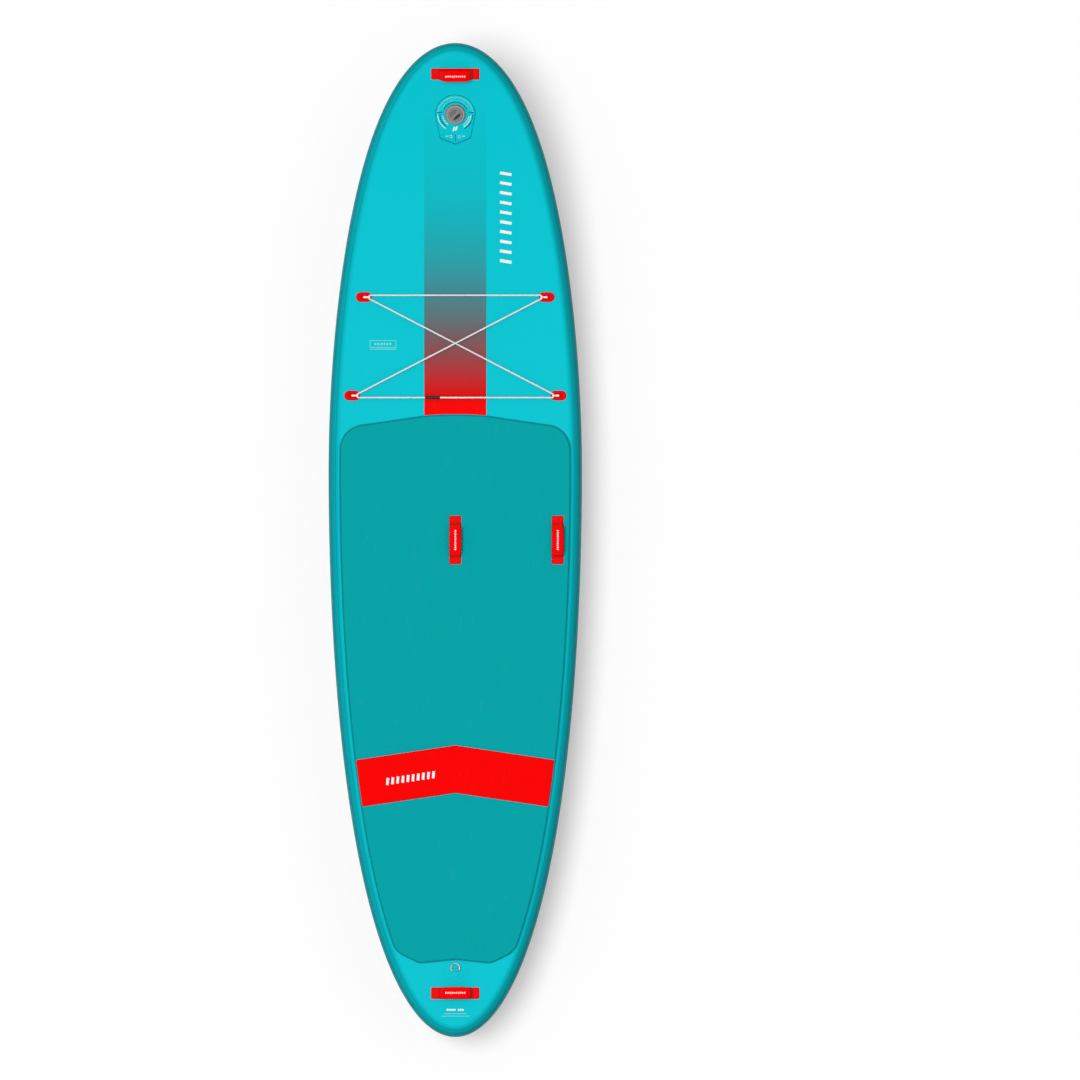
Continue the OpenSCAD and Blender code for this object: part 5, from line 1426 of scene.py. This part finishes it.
hullWords = {"surface": board["hullZ"], "side": -1}
chevronTurn = math.atan(pads["slope"])
chevronEnd = np.array([-0.062, -0.7545])
chevronStart = chevronEnd - 0.166 * np.array([math.cos(chevronTurn), math.sin(chevronTurn)])
printed = {
    "deckBlocks": (printedBlocks((0.163, 0.884), (0.163, 1.198), 10, 0.5, 0.037, 0.006), "inkWhite"),
    "deckBox": (printedBox(-0.2746, -0.191, 0.62, 0.642, 0.0016)
                + printedBlocks((-0.262, 0.631), (-0.204, 0.631), 6, 0.6, 0.006, 0.001)
                + [printedLine((-0.2746, 0.6145), (-0.191, 0.6145), 0.002)], "inkPale"),
    "chevronBlocks": (printedBlocks(chevronStart, chevronEnd, 10, 0.5, 0.022, 0.005,
                                    above=pads["thickness"]), "inkWhite"),
    "tailBlocks": (printedBlocks((-0.0285, -1.5125), (0.0015, -1.5125), 5, 0.75, 0.006, 0)
                   + printedBlocks((0.008, -1.5125), (0.028, -1.5125), 3, 0.75, 0.006, 0), "inkWhite"),
    "tailLines": (printedBlocks((-0.036, -1.5247), (0.036, -1.5247), 18, 0.7, 0.0024, 0)
                  + printedBlocks((-0.045, -1.5327), (0.045, -1.5327), 22, 0.7, 0.0024, 0), "inkPale"),
    "hullBlocks": (printedBlocks((0, 0.328), (0, -0.219), 10, 0.5, 0.062, 0.01, **hullWords), "inkWhite"),
    "hullBox": (printedBox(-0.04, 0.04, -1.0, -0.976, 0.0016, **hullWords)
                + printedBlocks((-0.03, -0.988), (0.03, -0.988), 6, 0.6, 0.007, 0.001, **hullWords)
                + [printedLine((-0.04, -1.006), (0.04, -1.006), 0.002, **hullWords)], "inkPale"),
}
for name, (parts, material) in printed.items():
    addPiece(name, parts, materials[material])
print("printed bars made")

# CAD pieces that keep their shape

keptNodes = {
    "deck_fabric": "coreCloth", "hull_fabric": "coreCloth", "drop_threads": "thread",
    "valve_gasket": "rubber", "valve_seat": "valveGrey", "valve_nut": "valveGrey",
    "valve_plunger": "valveWhite", "plunger_seal": "rubber", "cap_seal": "rubber",
}
for node, material in keptNodes.items():
    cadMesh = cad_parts[node].data
    cadMesh.materials.clear()
    cadMesh.materials.append(materials[material])

# Floor, light and camera

stage = {
    "floor": 14, "white": 0.7, "lift": 0.305, "above": 0.4, "below": 0.22, "sun": 1.95, "sunAngle": 26,
    "sunLean": 14, "fill": 2.2, "fillAngle": 60, "view": 3.4768, "centreX": 0.2727, "cameraHeight": 4,
}


def makeFloorMaterial():
    material, tree, shader = newMaterial("paleFloor")
    tree.nodes.remove(shader)
    output = tree.nodes["Material Output"]
    light = addNode(tree, "ShaderNodeLightPath")
    seen = mathNode(tree, "MAXIMUM", light.outputs["Is Camera Ray"], mathNode(
        tree, "MAXIMUM", light.outputs["Is Glossy Ray"], light.outputs["Is Transmission Ray"]))
    grain = useGroup(tree, mottleGroup, {"Vector": objectCoords(tree), "Size": 0.6, "Amount": 0.004})
    white = scaled(tree, rgba([stage["white"]] * 3), grain.outputs["Shade"])
    paint = addNode(tree, "ShaderNodeBsdfDiffuse", {"Color": white})
    lift = addNode(tree, "ShaderNodeEmission", {
        "Color": rgba([1, 1, 1]), "Strength": mathNode(tree, "MULTIPLY", seen, stage["lift"])})
    lit = addNode(tree, "ShaderNodeAddShader", {0: paint.outputs[0], 1: lift.outputs[0]})
    clear = addNode(tree, "ShaderNodeBsdfTransparent")
    back = addNode(tree, "ShaderNodeNewGeometry").outputs["Backfacing"]
    through = mathNode(tree, "MAXIMUM", back, mathNode(
        tree, "MAXIMUM", light.outputs["Is Shadow Ray"], light.outputs["Is Diffuse Ray"]))
    mix = addNode(tree, "ShaderNodeMixShader", {0: through, 1: lit.outputs[0], 2: clear.outputs[0]})
    tree.links.new(mix.outputs[0], output.inputs["Surface"])
    return material


size = stage["floor"] / 2
floorMesh = bpy.data.meshes.new("floor")
floorCorners = [(-size, -size, 0), (size, -size, 0), (size, size, 0), (-size, size, 0)]
floorMesh.from_pydata(floorCorners, [], [(0, 1, 2, 3)])
floorMesh.materials.append(makeFloorMaterial())
floor = bpy.data.objects.new("floor", floorMesh)
bpy.context.scene.collection.objects.link(floor)

world = bpy.data.worlds.new("softRoom")
bpy.context.scene.world = world
world.use_nodes = True
sky = world.node_tree
path = addNode(sky, "ShaderNodeLightPath")
seen = mathNode(sky, "MAXIMUM", path.outputs["Is Camera Ray"], mathNode(
    sky, "MAXIMUM", path.outputs["Is Glossy Ray"], path.outputs["Is Transmission Ray"]))
way = addNode(sky, "ShaderNodeSeparateXYZ", {0: addNode(sky, "ShaderNodeTexCoord").outputs["Generated"]})
soft = addNode(sky, "ShaderNodeMapRange", {
    "Value": way.outputs[2], "From Min": -0.15, "From Max": 0.15,
    "To Min": stage["below"], "To Max": stage["above"]})
strength = addNode(sky, "ShaderNodeMapRange", {"Value": seen, "To Min": soft.outputs[0], "To Max": 1.0})
sky.nodes["Background"].inputs["Color"].default_value = (1, 1, 1, 1)
sky.links.new(strength.outputs[0], sky.nodes["Background"].inputs["Strength"])


def addSun(name, energy, angle, direction):
    lamp = bpy.data.lights.new(name, "SUN")
    lamp.energy, lamp.angle, lamp.specular_factor = energy, math.radians(angle), 0.4
    sun = bpy.data.objects.new(name, lamp)
    bpy.context.scene.collection.objects.link(sun)
    sun.rotation_euler = Vector(direction).to_track_quat("-Z", "Y").to_euler()
    return sun


lean = math.tan(math.radians(stage["sunLean"]))
addSun("softSun", stage["sun"], stage["sunAngle"], (lean, -0.25 * lean, -1))
addSun("underFill", stage["fill"], stage["fillAngle"], (0, 0, 1))

cameraData = bpy.data.cameras.new("camera")
cameraData.type, cameraData.ortho_scale = "ORTHO", stage["view"]
camera = bpy.data.objects.new("camera", cameraData)
bpy.context.scene.collection.objects.link(camera)
camera.location = (stage["centreX"], 0, stage["cameraHeight"])
bpy.context.scene.camera = camera
bpy.context.scene.view_settings.view_transform = "Standard"
print("stage made")
